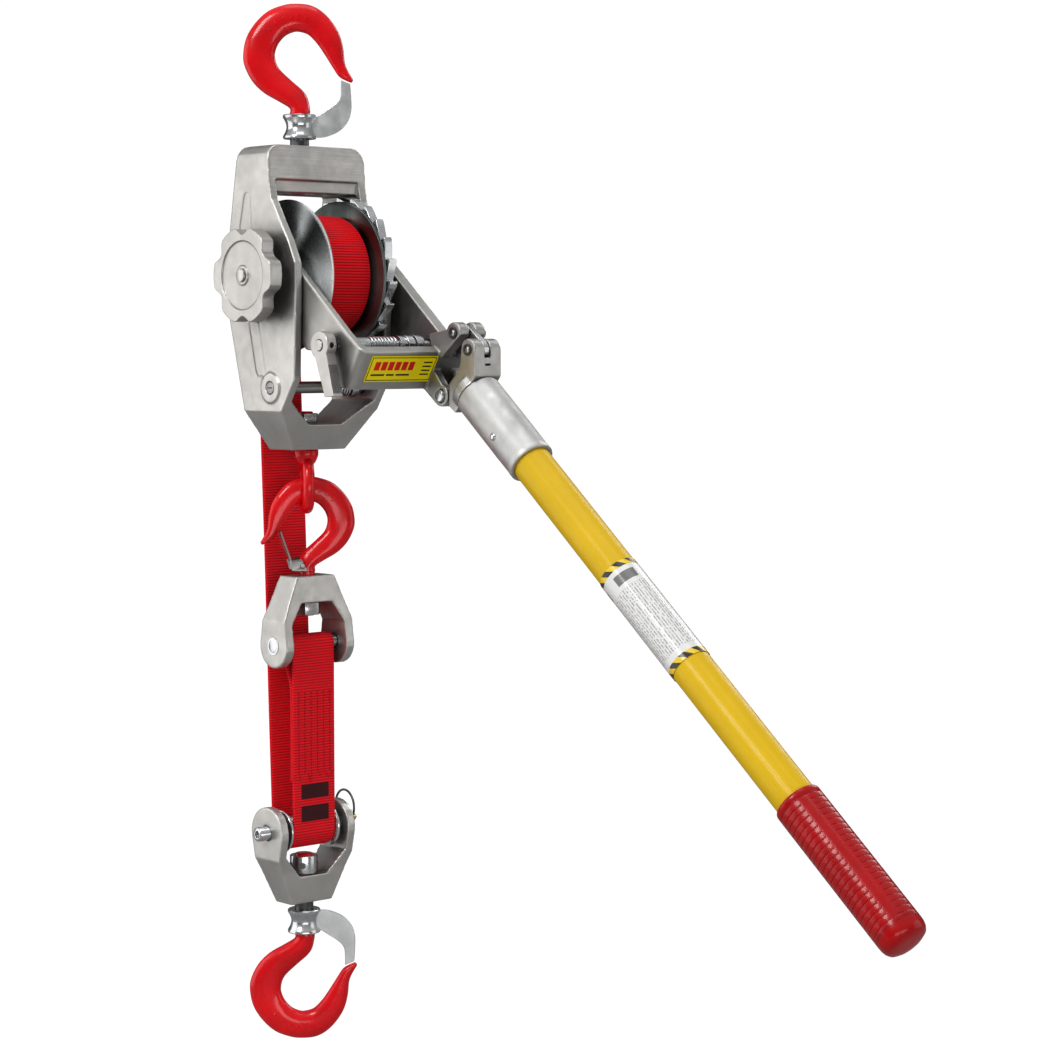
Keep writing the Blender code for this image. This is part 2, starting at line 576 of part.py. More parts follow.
def swivel_eye():
    centre = Vector((0, ANCHOR_Y, -175.4))
    angles = [2 * math.pi * i / 28 for i in range(28)]
    path = [centre + EYE_ACROSS * 16 * math.cos(t) + Z_AXIS * 20 * math.sin(t) for t in angles]
    return join(sweep(path, 5, 10, True, EYE_NORMAL),
                revolve(EYE_STEM, (0, EYE_Y, 0), Z_AXIS, 24))


def latch_bore():
    return cylinder(LATCH_PIVOT, LATCH_AXIS, LATCH_PIN_R + PIN_GAP, -20, 20, 12)


def anchor_latch():
    plane = (ANCHOR_COLLAR, ANCHOR_REACH, Z_AXIS)
    return cut(join(prism(LATCH_TONGUE, -9.6, 9.6, *plane),
                    prism(LATCH_CHEEK, -9.6, -8.4, *plane),
                    prism(LATCH_CHEEK, 8.4, 9.6, *plane)), latch_bore())


part("swivel_eye", swivel_eye(), "red_paint")
part("eye_nut", hex_nut(EYE_Y, EYE_STEM_R + PIN_GAP, 11, -123.2, -115), "zinc_steel")
part("anchor_hook", cut(hook(ANCHOR_COLLAR, Z_AXIS, ANCHOR_REACH, 38, ANCHOR_SHANK_R,
                             ANCHOR_SCALE), latch_bore()), "red_paint")
part("latch_pin", cylinder(LATCH_PIVOT, LATCH_AXIS, LATCH_PIN_R, -10.2, 10.2, 12), "zinc_steel")
part("anchor_latch", anchor_latch(), "zinc_steel")

# ---- clevises ----
CROSS_BORE = CROSS_PIN_R + PIN_GAP
ANCHOR_BORE = ANCHOR_SHANK_R + PIN_GAP
# Outer and inner outlines are (x, z); side outlines are (y from the clevis plane, z)
ANCHOR_OUTER = [(-20, -252.5), (-36.3, -290), (-36.3, -331), (36.3, -331), (36.3, -290),
                (20, -252.5)]
ANCHOR_INNER = [(-27.8, -340), (-27.8, -293), (-16, -275), (16, -275), (27.8, -293),
                (27.8, -340)]
ANCHOR_SIDE = ([(-12.4, -252.5), (-14, -275)] + arc((0, ANCHOR_PIN[1]), 19, 160, 380, 14)
               + [(14, -275), (12.4, -252.5)])
BLOCK_OUTER = [(-39.4, -440), (-39.4, -494), (-21.5, -534), (21.5, -534), (39.4, -494),
               (39.4, -440)]
BLOCK_INNER = [(-31.6, -430), (-31.6, -491), (-14, -510), (14, -510), (31.6, -491),
               (31.6, -430)]
BLOCK_SIDE = (arc(BLOCK_PIN, 22, -10, 190, 12)
              + [(-15, -505), (-11.5, -534), (11.5, -534), (15, -505)])


def clevis(pin, outer, inner, side, stem_bore):
    y = pin[0]
    body = common(front_prism(outer, 40, y), prism(side, -60, 60, (0, y, 0)))
    return cut(body, front_prism(inner, 50, y), upright(y, stem_bore, -700, -200, 24),
               rod(pin, CROSS_BORE, -60, 60, 20))


part("anchor_clevis", clevis(ANCHOR_PIN, ANCHOR_OUTER, ANCHOR_INNER, ANCHOR_SIDE, ANCHOR_BORE),
     "cast_aluminium")
part("anchor_pin", rod(ANCHOR_PIN, CROSS_PIN_R, -35.8, 35.8, 20), "zinc_steel")
part("anchor_hook_nut", hex_nut(ANCHOR_Y, ANCHOR_BORE, 12, -286, -275.4), "zinc_steel")
part("block_clevis", clevis(BLOCK_PIN, BLOCK_OUTER, BLOCK_INNER, BLOCK_SIDE, 8.2),
     "cast_aluminium")

# ---- sheave, its pin and the split ring through the pin ----
SPLIT_RING_X, SPLIT_RING_R = 45, 14
# (radius, x)
SHEAVE = [(CROSS_BORE, -26), (18.5, -26), (18.5, -23), (13, -22.7), (13, 22.7), (18.5, 23),
          (18.5, 26), (CROSS_BORE, 26)]
SHEAVE_PIN = [(0, -49.4), (5.2, -49.4), (CROSS_PIN_R, -48.6), (CROSS_PIN_R, 47.5), (0, 48.3)]


def sheave_pin():
    """Pin with a hexagonal recess in the left end and a cross hole near the right."""
    return cut(turned(BLOCK_PIN, SHEAVE_PIN, 20), rod(BLOCK_PIN, 3.4, -60, -44, 6),
               cylinder((SPLIT_RING_X, 0, BLOCK_PIN[1] + 0.7), Y_AXIS, 2.7, -10, 10, 12))


def split_ring():
    angles = [2 * math.pi * i / 24 for i in range(24)]
    centre_z = BLOCK_PIN[1] + SPLIT_RING_R
    path = [Vector((SPLIT_RING_X, SPLIT_RING_R * math.sin(t),
                    centre_z + SPLIT_RING_R * math.cos(t))) for t in angles]
    return sweep(path, 1.0, 6, True)


part("sheave", turned(BLOCK_PIN, SHEAVE, 32, True), "zinc_steel")
part("sheave_pin", sheave_pin(), "zinc_steel")
part("split_ring", split_ring(), "dark_steel")

# ---- strap ----
LOAD_RUN_Y = 32.95    # centre of the load run at drum height
WRAP_IN = 13.3
WRAP_OUT, WRAP_MID = WRAP_IN + STRAP_T, WRAP_IN + STRAP_T / 2
WRAP_TOP = BLOCK_PIN[1] + 0.3
LOOP_IN, LOOP_OUT = CROSS_BORE, CROSS_BORE + STRAP_T
LOOP_END = ANCHOR_PIN[1] - 18
TAIL_OUT, TAIL_IN = ANCHOR_Y + 3.3, ANCHOR_Y + 0.5    # y of the loop's +Y leg at its end
RUN_TOP = LOOP_END - 0.3


def strap(name, outline, *holes):
    """Full-width strap piece from a (y, z) outline."""
    part(name, cut(prism(outline, -STRAP_HALF, STRAP_HALF), *holes), "red_webbing")


strap("strap_load_run", [
    (LOAD_RUN_Y - STRAP_T / 2, 0), (LOAD_RUN_Y + STRAP_T / 2, 0),
    (WRAP_MID + STRAP_T / 2, WRAP_TOP), (WRAP_MID - STRAP_T / 2, WRAP_TOP)])
strap("strap_sheave_wrap", arc(BLOCK_PIN, WRAP_OUT, 179, 361, 16)
      + arc(BLOCK_PIN, WRAP_IN, 361, 179, 16))
strap("strap_loop",
      [(ANCHOR_Y - LOOP_OUT, LOOP_END)] + arc(ANCHOR_PIN, LOOP_OUT, 180, 0, 12)
      + [(TAIL_OUT, LOOP_END)],
      prism([(ANCHOR_Y - LOOP_IN, LOOP_END - 1)] + arc(ANCHOR_PIN, LOOP_IN, 180, 0, 12)
            + [(TAIL_IN, LOOP_END - 1)], -30, 30))
strap("strap_dead_run", [
    (-WRAP_OUT, WRAP_TOP), (-WRAP_IN, WRAP_TOP), (-WRAP_IN, -427), (STRAP_T - WRAP_IN, -427),
    (STRAP_T - WRAP_IN, -352), (TAIL_OUT, RUN_TOP), (TAIL_IN, RUN_TOP), (-WRAP_IN, -348),
    (-WRAP_IN, RUN_TOP), (-WRAP_OUT, RUN_TOP)])
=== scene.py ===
import bpy
import bmesh
import json
import math
import random
from mathutils import Vector, Matrix

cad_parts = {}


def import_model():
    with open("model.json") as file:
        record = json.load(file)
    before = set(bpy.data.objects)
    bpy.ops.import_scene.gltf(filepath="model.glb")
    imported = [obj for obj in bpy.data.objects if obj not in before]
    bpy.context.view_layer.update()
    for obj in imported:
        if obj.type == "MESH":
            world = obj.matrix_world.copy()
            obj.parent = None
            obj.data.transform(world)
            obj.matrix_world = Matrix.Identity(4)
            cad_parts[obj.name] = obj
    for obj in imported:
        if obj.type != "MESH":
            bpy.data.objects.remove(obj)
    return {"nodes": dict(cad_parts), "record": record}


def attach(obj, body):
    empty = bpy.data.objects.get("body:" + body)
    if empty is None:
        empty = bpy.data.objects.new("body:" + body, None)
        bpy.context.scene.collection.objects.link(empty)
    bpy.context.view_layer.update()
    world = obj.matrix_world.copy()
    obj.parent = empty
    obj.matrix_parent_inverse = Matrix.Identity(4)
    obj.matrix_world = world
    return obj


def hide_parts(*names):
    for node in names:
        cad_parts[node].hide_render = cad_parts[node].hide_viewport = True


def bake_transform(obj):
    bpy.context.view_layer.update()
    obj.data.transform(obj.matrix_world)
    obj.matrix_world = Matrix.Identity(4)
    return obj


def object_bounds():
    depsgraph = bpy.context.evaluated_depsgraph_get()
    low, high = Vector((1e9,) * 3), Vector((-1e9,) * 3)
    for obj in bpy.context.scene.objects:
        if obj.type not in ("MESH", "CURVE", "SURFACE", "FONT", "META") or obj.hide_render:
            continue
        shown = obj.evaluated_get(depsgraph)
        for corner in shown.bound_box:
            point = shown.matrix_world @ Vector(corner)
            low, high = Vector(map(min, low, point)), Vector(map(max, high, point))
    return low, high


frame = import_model()
cad_lo, cad_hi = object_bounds()
cad_lo, cad_hi = list(cad_lo), list(cad_hi)
NODES = frame["nodes"]
BODY_OF = {n: b for b, ns in frame["record"]["behaviour"]["bodies"].items() for n in ns}
random.seed(7)
MM = 0.001
DRUM_Y = -17.6
X = Vector((1, 0, 0))
Z = Vector((0, 0, 1))
OFF = Vector((0.00235, 0.2934542, 0.21255))


def at(x, y, z):
    return Vector((x, y, z)) + OFF


# ---------------------------------------------------------------- materials
class Mat:
    def __init__(self, name, rgb, metallic, rough, **kw):
        self.m = bpy.data.materials.new(name)
        self.m.use_nodes = True
        self.t = self.m.node_tree
        self.b = self.t.nodes["Principled BSDF"]
        self.b.inputs["Base Color"].default_value = (*rgb, 1)
        self.b.inputs["Metallic"].default_value = metallic
        self.b.inputs["Roughness"].default_value = rough
        for k, v in kw.items():
            self.b.inputs[k.replace("_", " ")].default_value = v
        self.co = self.t.nodes.new("ShaderNodeTexCoord")

    def node(self, kind, **kw):
        n = self.t.nodes.new(kind)
        for k, v in kw.items():
            setattr(n, k, v)
        return n

    def link(self, a, b):
        self.t.links.new(a, b)

    def noise(self, scale, detail=4, rough=0.55, stretch=None, src="Object"):
        n = self.node("ShaderNodeTexNoise")
        n.inputs["Scale"].default_value = scale
        n.inputs["Detail"].default_value = detail
        n.inputs["Roughness"].default_value = rough
        if stretch:
            mp = self.node("ShaderNodeMapping")
            mp.inputs["Scale"].default_value = stretch
            self.link(self.co.outputs[src], mp.inputs[0])
            self.link(mp.outputs[0], n.inputs["Vector"])
        else:
            self.link(self.co.outputs[src], n.inputs["Vector"])
        return n.outputs["Fac"]

    def rng(self, v, a, b, c, d):
        n = self.node("ShaderNodeMapRange")
        self.link(v, n.inputs["Value"])
        for k, q in zip(("From Min", "From Max", "To Min", "To Max"), (a, b, c, d)):
            n.inputs[k].default_value = q
        return n.outputs["Result"]

    def math(self, op, a, b=None, c=None):
        n = self.node("ShaderNodeMath", operation=op)
        for i, q in enumerate((a, b, c)):
            if q is None:
                continue
            if isinstance(q, (int, float)):
                n.inputs[i].default_value = q
            else:
                self.link(q, n.inputs[i])
        return n.outputs[0]

    def mix(self, f, a, b, kind="MIX"):
        n = self.node("ShaderNodeMix", data_type="RGBA", blend_type=kind)
        for i, q in ((0, f), (6, a), (7, b)):
            if isinstance(q, (int, float)):
                n.inputs[i].default_value = q
            elif isinstance(q, tuple):
                n.inputs[i].default_value = (*q, 1)
            else:
                self.link(q, n.inputs[i])
        return n.outputs[2]

    def colour(self, v):
        self.link(v, self.b.inputs["Base Color"])
        return self

    def roughness(self, v):
        self.link(v, self.b.inputs["Roughness"])
        return self

    def bump(self, *pairs):
        prev = None
        for h, dist, strength in pairs:
            n = self.node("ShaderNodeBump")
            n.inputs["Distance"].default_value = dist * MM
            n.inputs["Strength"].default_value = strength
            self.link(h, n.inputs["Height"])
            if prev:
                self.link(prev, n.inputs["Normal"])
            prev = n.outputs[0]
        self.link(prev, self.b.inputs["Normal"])
        return self

    # painted shade: this AO mask darkens colour in crevices, recesses and between parts
    def crevice_shade(self, dist, lo=0.30, hi=0.92, floor=0.25):
        n = self.node("ShaderNodeAmbientOcclusion", samples=8)
        n.inputs["Distance"].default_value = dist
        return self.rng(n.outputs["AO"], lo, hi, floor, 1.0)

    def edge(self, lo=0.5, hi=0.6):
        g = self.node("ShaderNodeNewGeometry")
        return self.rng(g.outputs["Pointiness"], lo, hi, 0, 1)


def cast_metal(name, rgb, rough, milled=False):
    a = Mat(name, rgb, 0.82, rough)
    big = a.noise(22, 5, 0.6)
    fine = a.noise(900, 3, 0.7)
    pits = a.noise(2600, 2, 0.6)
    c = a.mix(a.rng(big, 0.35, 0.7, 0, 1), tuple(x * 0.86 for x in rgb), tuple(min(1, x * 1.10) for x in rgb))
    c = a.mix(a.rng(fine, 0.3, 0.7, 0, 0.35), c, tuple(x * 0.72 for x in rgb))
    # painted highlight: convex edges lightened
    c = a.mix(a.math("MULTIPLY", a.edge(0.505, 0.56), 0.55), c, tuple(min(1, x * 1.3) for x in rgb))
    # painted shade: concave edges and creases darkened
    c = a.mix(a.math("MULTIPLY", a.edge(0.495, 0.44), 0.6), c, tuple(x * 0.45 for x in rgb))
    # painted shade: crevices and recesses darkened through the AO mask
    c = a.mix(a.crevice_shade(0.045), tuple(x * 0.16 for x in rgb), c)
    a.colour(c).roughness(a.rng(a.noise(120, 4), 0.3, 0.7, rough - 0.07, rough + 0.10))
    if not milled:
        return a.bump((fine, 0.10, 0.55), (pits, 0.04, 0.5), (a.noise(140, 3), 0.22, 0.25))
    # faces towards the handle side and the top are milled: fine parallel cutter lines
    nn = a.node("ShaderNodeSeparateXYZ")
    a.link(a.co.outputs["Normal"], nn.inputs[0])
    face = a.math("MAXIMUM", a.rng(nn.outputs[1], -0.97, -0.90, 1, 0), a.rng(nn.outputs[2], 0.93, 0.98, 0, 1))
    lines = a.noise(1, 3, 0.7, (12, 900, 1100))
    cut = a.math("MULTIPLY", face, lines)
    cc = a.b.inputs["Base Color"].links[0].from_socket
    c2 = a.mix(a.math("MULTIPLY", a.rng(lines, 0.35, 0.65, 0, 0.5), face), cc, tuple(x * 0.62 for x in rgb))
    a.colour(c2)
    return a.bump((fine, 0.10, 0.45), (cut, 0.10, 0.8), (a.noise(140, 3), 0.22, 0.25))


def plated(name, rgb, rough, stretch=(60, 900, 900)):
    a = Mat(name, rgb, 1.0, rough)
    s = a.noise(1, 5, 0.65, stretch)
    c = a.mix(a.rng(a.noise(60, 4), 0.35, 0.7, 0, 1), tuple(x * 0.86 for x in rgb), tuple(min(1, x * 1.1) for x in rgb))
    # painted shade: concave edges and creases darkened
    c = a.mix(a.math("MULTIPLY", a.edge(0.49, 0.43), 0.5), c, tuple(x * 0.4 for x in rgb))
    a.colour(c).roughness(a.rng(a.noise(90, 4), 0.3, 0.7, rough - 0.05, rough + 0.08))
    return a.bump((s, 0.006, 0.25), (a.noise(160, 2), 0.02, 0.12))


def gloss_paint(name, rgb, rough, coat=0.7, mottle=1.0, lump=1.0):
    a = Mat(name, rgb, 0.0, rough, Coat_Weight=coat, Coat_Roughness=0.10, Specular_IOR_Level=0.25)
    c = a.mix(a.rng(a.noise(35, 4), 0.35, 0.7, 0, 1), tuple(x * (1 - 0.18 * mottle) for x in rgb), tuple(min(1, x * (1 + 0.12 * mottle)) for x in rgb))
    # painted shade: concave edges and creases darkened
    c = a.mix(a.math("MULTIPLY", a.edge(0.495, 0.45), 0.6), c, tuple(x * 0.35 for x in rgb))
    a.colour(c).roughness(a.rng(a.noise(90, 3), 0.3, 0.7, rough - 0.04, rough + 0.08))
    return a.bump((a.noise(260, 3), 0.12 * lump, 0.30), (a.noise(60, 2), 0.5 * lump, 0.18))


def webbing(name, rgb, rib_valley_shade=0.12):
    a = Mat(name, rgb, 0.0, 0.75, Specular_IOR_Level=0.15)
    sp = a.node("ShaderNodeSeparateXYZ")
    a.link(a.co.outputs["UV"], sp.inputs[0])
    u, v = sp.outputs[0], sp.outputs[1]
    col = a.math("MULTIPLY", u, 2 * math.pi / 2.3e-3)
    warp = a.math("ABSOLUTE", a.math("SINE", a.math("MULTIPLY", col, 0.5)))
    shift = a.math("MULTIPLY", a.math("FLOOR", a.math("DIVIDE", u, 2.3e-3)), math.pi)
    rib = a.math("ABSOLUTE", a.math("SINE", a.math("MULTIPLY_ADD", v, math.pi / 2.35e-3, a.math("MULTIPLY", shift, 0.0))))
    yarn = a.noise(1, 3, 0.6, (2600, 500, 1), "UV")
    h = a.math("ADD", a.math("MULTIPLY", a.math("POWER", rib, 0.9), 0.85), a.math("MULTIPLY", warp, 0.15))
    # painted shade in the rib valleys: the colour darkens where the rib height h is low
    dark = tuple(x * rib_valley_shade for x in rgb)
    c = a.mix(a.rng(h, 0.22, 0.78, 0, 1), dark, rgb)
    c = a.mix(a.rng(yarn, 0.3, 0.75, 0, 0.30), c, tuple(min(1, x * 1.5 + 0.02) for x in rgb))
    c = a.mix(a.rng(a.noise(28, 4), 0.4, 0.75, 0, 0.35), c, tuple(x * 0.75 for x in rgb))
    a.colour(c)
    return a.bump((h, 0.30, 0.8), (yarn, 0.10, 0.5))


ALU = (0.60, 0.585, 0.555)
M = {}
M["cast"] = cast_metal("cast_aluminium_look", ALU, 0.36)
M["cast_milled"] = cast_metal("milled_casting_look", ALU, 0.36, True)
M["cast_dark"] = cast_metal("cast_aluminium_lever_look", (0.50, 0.49, 0.465), 0.38)
M["tube"] = cast_metal("drawn_tube_look", (0.56, 0.56, 0.545), 0.46)
M["zinc"] = plated("zinc_plate_look", (0.66, 0.67, 0.68), 0.22)
M["bright"] = plated("bright_disc_look", (0.84, 0.88, 0.88), 0.26, (900, 900, 900))
M["disc"] = plated("dull_disc_look", (0.20, 0.22, 0.21), 0.32, (900, 900, 900))
# painted reflection: bright fan-shaped streaks at fixed angles round the drum axis, with the colour darkened between
# them and metallic lowered inside them; it turns with the drum
for k in ("bright", "disc"):
    q = M[k]
    xyz = q.node("ShaderNodeSeparateXYZ")
    q.link(q.co.outputs["Object"], xyz.inputs[0])
    th = q.math("ARCTAN2", q.math("SUBTRACT", xyz.outputs[2], OFF.z), q.math("SUBTRACT", DRUM_Y * MM + OFF.y, xyz.outputs[1]))
    painted_reflection_fan = q.math("MAXIMUM", q.math("POWER", q.math("MAXIMUM", q.math("COSINE", q.math("SUBTRACT", th, 1.12)), 0.0), 60.0),
                 q.math("POWER", q.math("MAXIMUM", q.math("COSINE", q.math("SUBTRACT", th, -0.10)), 0.0), 7.0))
    painted_reflection_fan = q.math("MAXIMUM", painted_reflection_fan, q.math("POWER", q.math("MAXIMUM", q.math("COSINE", q.math("SUBTRACT", th, 3.6)), 0.0), 9.0))
    tone = q.b.inputs["Base Color"].links[0].from_socket
    q.colour(q.mix(painted_reflection_fan, q.mix(0.62, tone, (0.03, 0.04, 0.035)), tone))
    q.link(q.math("MULTIPLY_ADD", painted_reflection_fan, -0.72 if k == "bright" else -0.2, 1.0), q.b.inputs["Metallic"])
    tg = q.node("ShaderNodeTangent", direction_type="RADIAL", axis="X")
    M[k].link(tg.outputs[0], M[k].b.inputs["Tangent"])
    M[k].b.inputs["Anisotropic"].default_value = 0.85
M["satin"] = plated("satin_zinc_look", (0.70, 0.71, 0.71), 0.40)
M["steel"] = plated("plain_steel_look", (0.36, 0.36, 0.35), 0.38)
M["dark"] = plated("dark_steel_look", (0.14, 0.14, 0.145), 0.34)
M["brass"] = plated("brass_look", (0.74, 0.55, 0.26), 0.25)
M["red"] = gloss_paint("red_paint_look", (0.78, 0.003, 0.009), 0.22, 0.42)
M["web"] = webbing("red_webbing_look", (0.94, 0.012, 0.024), 0.36)
M["coil"] = webbing("coil_webbing_look", (0.84, 0.006, 0.014), 0.10)
M["rod"] = gloss_paint("yellow_rod_look", (0.74, 0.48, 0.0), 0.36, 0.08, 0.2, 0.2)
M["vinyl"] = gloss_paint("red_vinyl_look", (0.43, 0.0015, 0.004), 0.26, 0.22, 0.6, 0.3)
M["print_red"] = gloss_paint("print_red_look", (0.78, 0.015, 0.010), 0.40, 0.05)
M["print_black"] = gloss_paint("print_black_look", (0.02, 0.02, 0.02), 0.40, 0.1)
M["print_maroon"] = gloss_paint("print_maroon_look", (0.055, 0.006, 0.010), 0.6, 0.0)
M["label_yellow"] = gloss_paint("yellow_label_look", (1.0, 0.82, 0.0), 0.40, 0.05, 0.3)
M["thread"] = gloss_paint("thread_look", (0.40, 0.006, 0.012), 0.65, 0.0)
sl = Mat("label_sleeve_look", (0.80, 0.80, 0.78), 0.0, 0.30, Coat_Weight=0.3)
sp = sl.node("ShaderNodeSeparateXYZ")
sl.link(sl.co.outputs["UV"], sp.inputs[0])
u, v = sp.outputs[0], sp.outputs[1]
band = sl.math("MAXIMUM", sl.math("LESS_THAN", v, 0.0055), sl.math("GREATER_THAN", v, 0.0975))
stripe = sl.math("GREATER_THAN", sl.math("SINE", sl.math("MULTIPLY", sl.math("ADD", u, v), 2 * math.pi / 0.0125)), 0.0)
hazard = sl.mix(stripe, (0.86, 0.60, 0.01), (0.015, 0.015, 0.015))
line = sl.math("GREATER_THAN", sl.math("SINE", sl.math("MULTIPLY", u, 2 * math.pi / 0.0023)), 0.35)
dash = sl.math("GREATER_THAN", sl.noise(1, 2, 0.5, (436, 620, 1), "UV"), 0.47)
inside = sl.math("MULTIPLY", sl.math("GREATER_THAN", v, 0.023), sl.math("LESS_THAN", v, 0.092))
ink = sl.math("MULTIPLY", sl.math("MULTIPLY", line, dash), inside)
block = sl.math("MULTIPLY", sl.math("GREATER_THAN", v, 0.0100), sl.math("LESS_THAN", v, 0.0190))
block = sl.math("MULTIPLY", block, sl.math("GREATER_THAN", sl.math("SINE", sl.math("MULTIPLY", u, 2 * math.pi / 0.034)), -0.2))
paper = sl.mix(sl.math("MULTIPLY", ink, 0.62), (0.78, 0.78, 0.76), (0.07, 0.07, 0.08))
paper = sl.mix(sl.math("MULTIPLY", block, 0.8), paper, (0.015, 0.015, 0.015))
sl.colour(sl.mix(band, paper, hazard))
sl.bump((sl.noise(300, 2), 0.03, 0.3))
M["sleeve"] = sl


# ---------------------------------------------------------------- mesh tools
def obj(name, verts, faces, uv=None, sharp=35, merge=True):
    me = bpy.data.meshes.new(name)
    me.from_pydata([tuple(Vector(p) * MM + OFF) for p in verts], [], faces)
    if uv is not None:
        lay = me.uv_layers.new(name="UVMap")
        k = 0
        for f in uv:
            for q in f:
                lay.data[k].uv = (q[0] * MM, q[1] * MM)
                k += 1
    bm = bmesh.new()
    bm.from_mesh(me)
    if merge:
        bmesh.ops.remove_doubles(bm, verts=bm.verts[:], dist=2e-6)
    bmesh.ops.recalc_face_normals(bm, faces=bm.faces[:])
    bm.to_mesh(me)
    bm.free()
    ob = bpy.data.objects.new(name, me)
    bpy.context.scene.collection.objects.link(ob)
    for p in me.polygons:
        p.use_smooth = True
    me.set_sharp_from_angle(angle=math.radians(sharp))
    return ob


def prism(name, pts, lo, hi, o=(0, 0, 0), e1=(0, 1, 0), e2=(0, 0, 1), bev=0.6, seg=3):
    o, e1, e2 = Vector(o), Vector(e1).normalized(), Vector(e2).normalized()
    n = e1.cross(e2)
    k = len(pts)
    v = [o + e1 * a + e2 * b + n * h for h in (lo, hi) for a, b in pts]
    f = [tuple(range(k))[::-1], tuple(range(k, 2 * k))] + [(i, (i + 1) % k, k + (i + 1) % k, k + i) for i in range(k)]
    return bevel(obj(name, v, f), bev, seg)


def bevel(ob, w, seg=3, angle=32):
    if w:
        b = ob.modifiers.new("bevel", "BEVEL")
        b.width = w * MM
        b.segments = seg
        b.limit_method = "ANGLE"
        b.angle_limit = math.radians(angle)
        b.harden_normals = False
        ob.data.set_sharp_from_angle(angle=math.radians(80))
    return ob


def grid(name, P, U=None, V=None, wi=False, wj=True, caps=True, sharp=35):
    """P[i][j]: rows of points; wj closes each row, wi closes the rows."""
    m, n = len(P), len(P[0])
    v = [p for r in P for p in r]
    f, uv = [], []
    for i in range(m if wi else m - 1):
        for j in range(n if wj else n - 1):
            a, b = (i + 1) % m, (j + 1) % n
            f.append((i * n + j, i * n + b, a * n + b, a * n + j))
            if U is not None:
                uv.append(((U[j], V[i]), (U[j + 1] if wj else U[b], V[i]), (U[j + 1] if wj else U[b], V[i + 1] if wi else V[a]), (U[j], V[i + 1] if wi else V[a])))
    if caps and not wi:
        f.append(tuple(range(n))[::-1])
        f.append(tuple(range((m - 1) * n, m * n)))
        if U is not None:
            uv.append([(U[j], V[0]) for j in range(n)][::-1])
            uv.append([(U[j], V[m - 1]) for j in range(n)])
    return obj(name, v, f, uv if U is not None else None, sharp)


def revolve(name, prof, o, ax, n=72, closed=False, sharp=30, uv=False):
    o, ax = Vector(o), Vector(ax).normalized()
    r0 = ax.orthogonal().normalized()
    s = ax.cross(r0)
    P = [[o + ax * a + (r0 * math.cos(2 * math.pi * i / n) + s * math.sin(2 * math.pi * i / n)) * max(r, 1e-4) for i in range(n)] for r, a in prof]
    if uv:
        R = max(r for r, _ in prof)
        U = [2 * math.pi * R * i / n for i in range(n + 1)]
        V = [a for _, a in prof] + [prof[0][1]]
        return grid(name, P, U, V, wi=closed, sharp=sharp)
    return grid(name, P, wi=closed, sharp=sharp)


def rounded(prof, r, seg=3, closed=True):
    """Rounds the corners of a profile."""
    out = []
    k = len(prof)
    for i in range(k):
        p = Vector(prof[i])
        if not closed and i in (0, k - 1):
            out.append(tuple(p))
            continue
        a, b = Vector(prof[i - 1]), Vector(prof[(i + 1) % k])
        da, db = (a - p), (b - p)
        q = min(r, da.length * 0.45, db.length * 0.45)
        s, e = p + da.normalized() * q, p + db.normalized() * q
        for t in range(seg + 1):
            w = t / seg
            out.append(tuple(s * (1 - w) ** 2 + p * 2 * w * (1 - w) + e * w ** 2))
    return out


def spline(keys, n):
    """Catmull-Rom through equal-length tuples."""
    out = []
    m = len(keys)
    for i in range(m - 1):
        p0, p1, p2, p3 = keys[max(0, i - 1)], keys[i], keys[i + 1], keys[min(m - 1, i + 2)]
        for t in range(n):
            w = t / n
            out.append(tuple(0.5 * (2 * b + (c - a) * w + (2 * a - 5 * b + 4 * c - d) * w * w + (3 * b - a - 3 * c + d) * w ** 3) for a, b, c, d in zip(p0, p1, p2, p3)))
    out.append(tuple(keys[-1]))
    return out


def tube(name, path, r, n=12, closed=False, up=X, sharp=60):
    up = Vector(up)
    m = len(path)
    P = []
    for i, p in enumerate(path):
        a = path[(i - 1) % m] if closed or i else path[0]
        b = path[(i + 1) % m] if closed or i < m - 1 else path[-1]
        t = (b - a).normalized()
        s = t.cross(up).normalized()
        w = s.cross(t)
        P.append([p + (s * math.cos(2 * math.pi * k / n) + w * math.sin(2 * math.pi * k / n)) * r for k in range(n)])
    return grid(name, P, wi=closed, sharp=sharp)


def arc(c, r, a0, a1, n):
    return [(c[0] + r * math.cos(math.radians(a0 + (a1 - a0) * i / n)), c[1] + r * math.sin(math.radians(a0 + (a1 - a0) * i / n))) for i in range(n + 1)]


RIB = 2.35


def resampled(path, step, upto):
    """The path with points every step mm over its first upto mm; the rest stays as it was."""
    out, s, nxt = [tuple(path[0])], 0.0, step
    for a, b in zip(path, path[1:]):
        d = math.hypot(b[0] - a[0], b[1] - a[1])
        while nxt < s + d and nxt <= upto:
            w = (nxt - s) / d
            out.append((a[0] + (b[0] - a[0]) * w, a[1] + (b[1] - a[1]) * w))
            nxt += step
        s += d
        if s > upto:
            out.append(tuple(b))
    if math.hypot(out[-1][0] - path[-1][0], out[-1][1] - path[-1][1]) > 0.05:
        out.append(tuple(path[-1]))
    return out


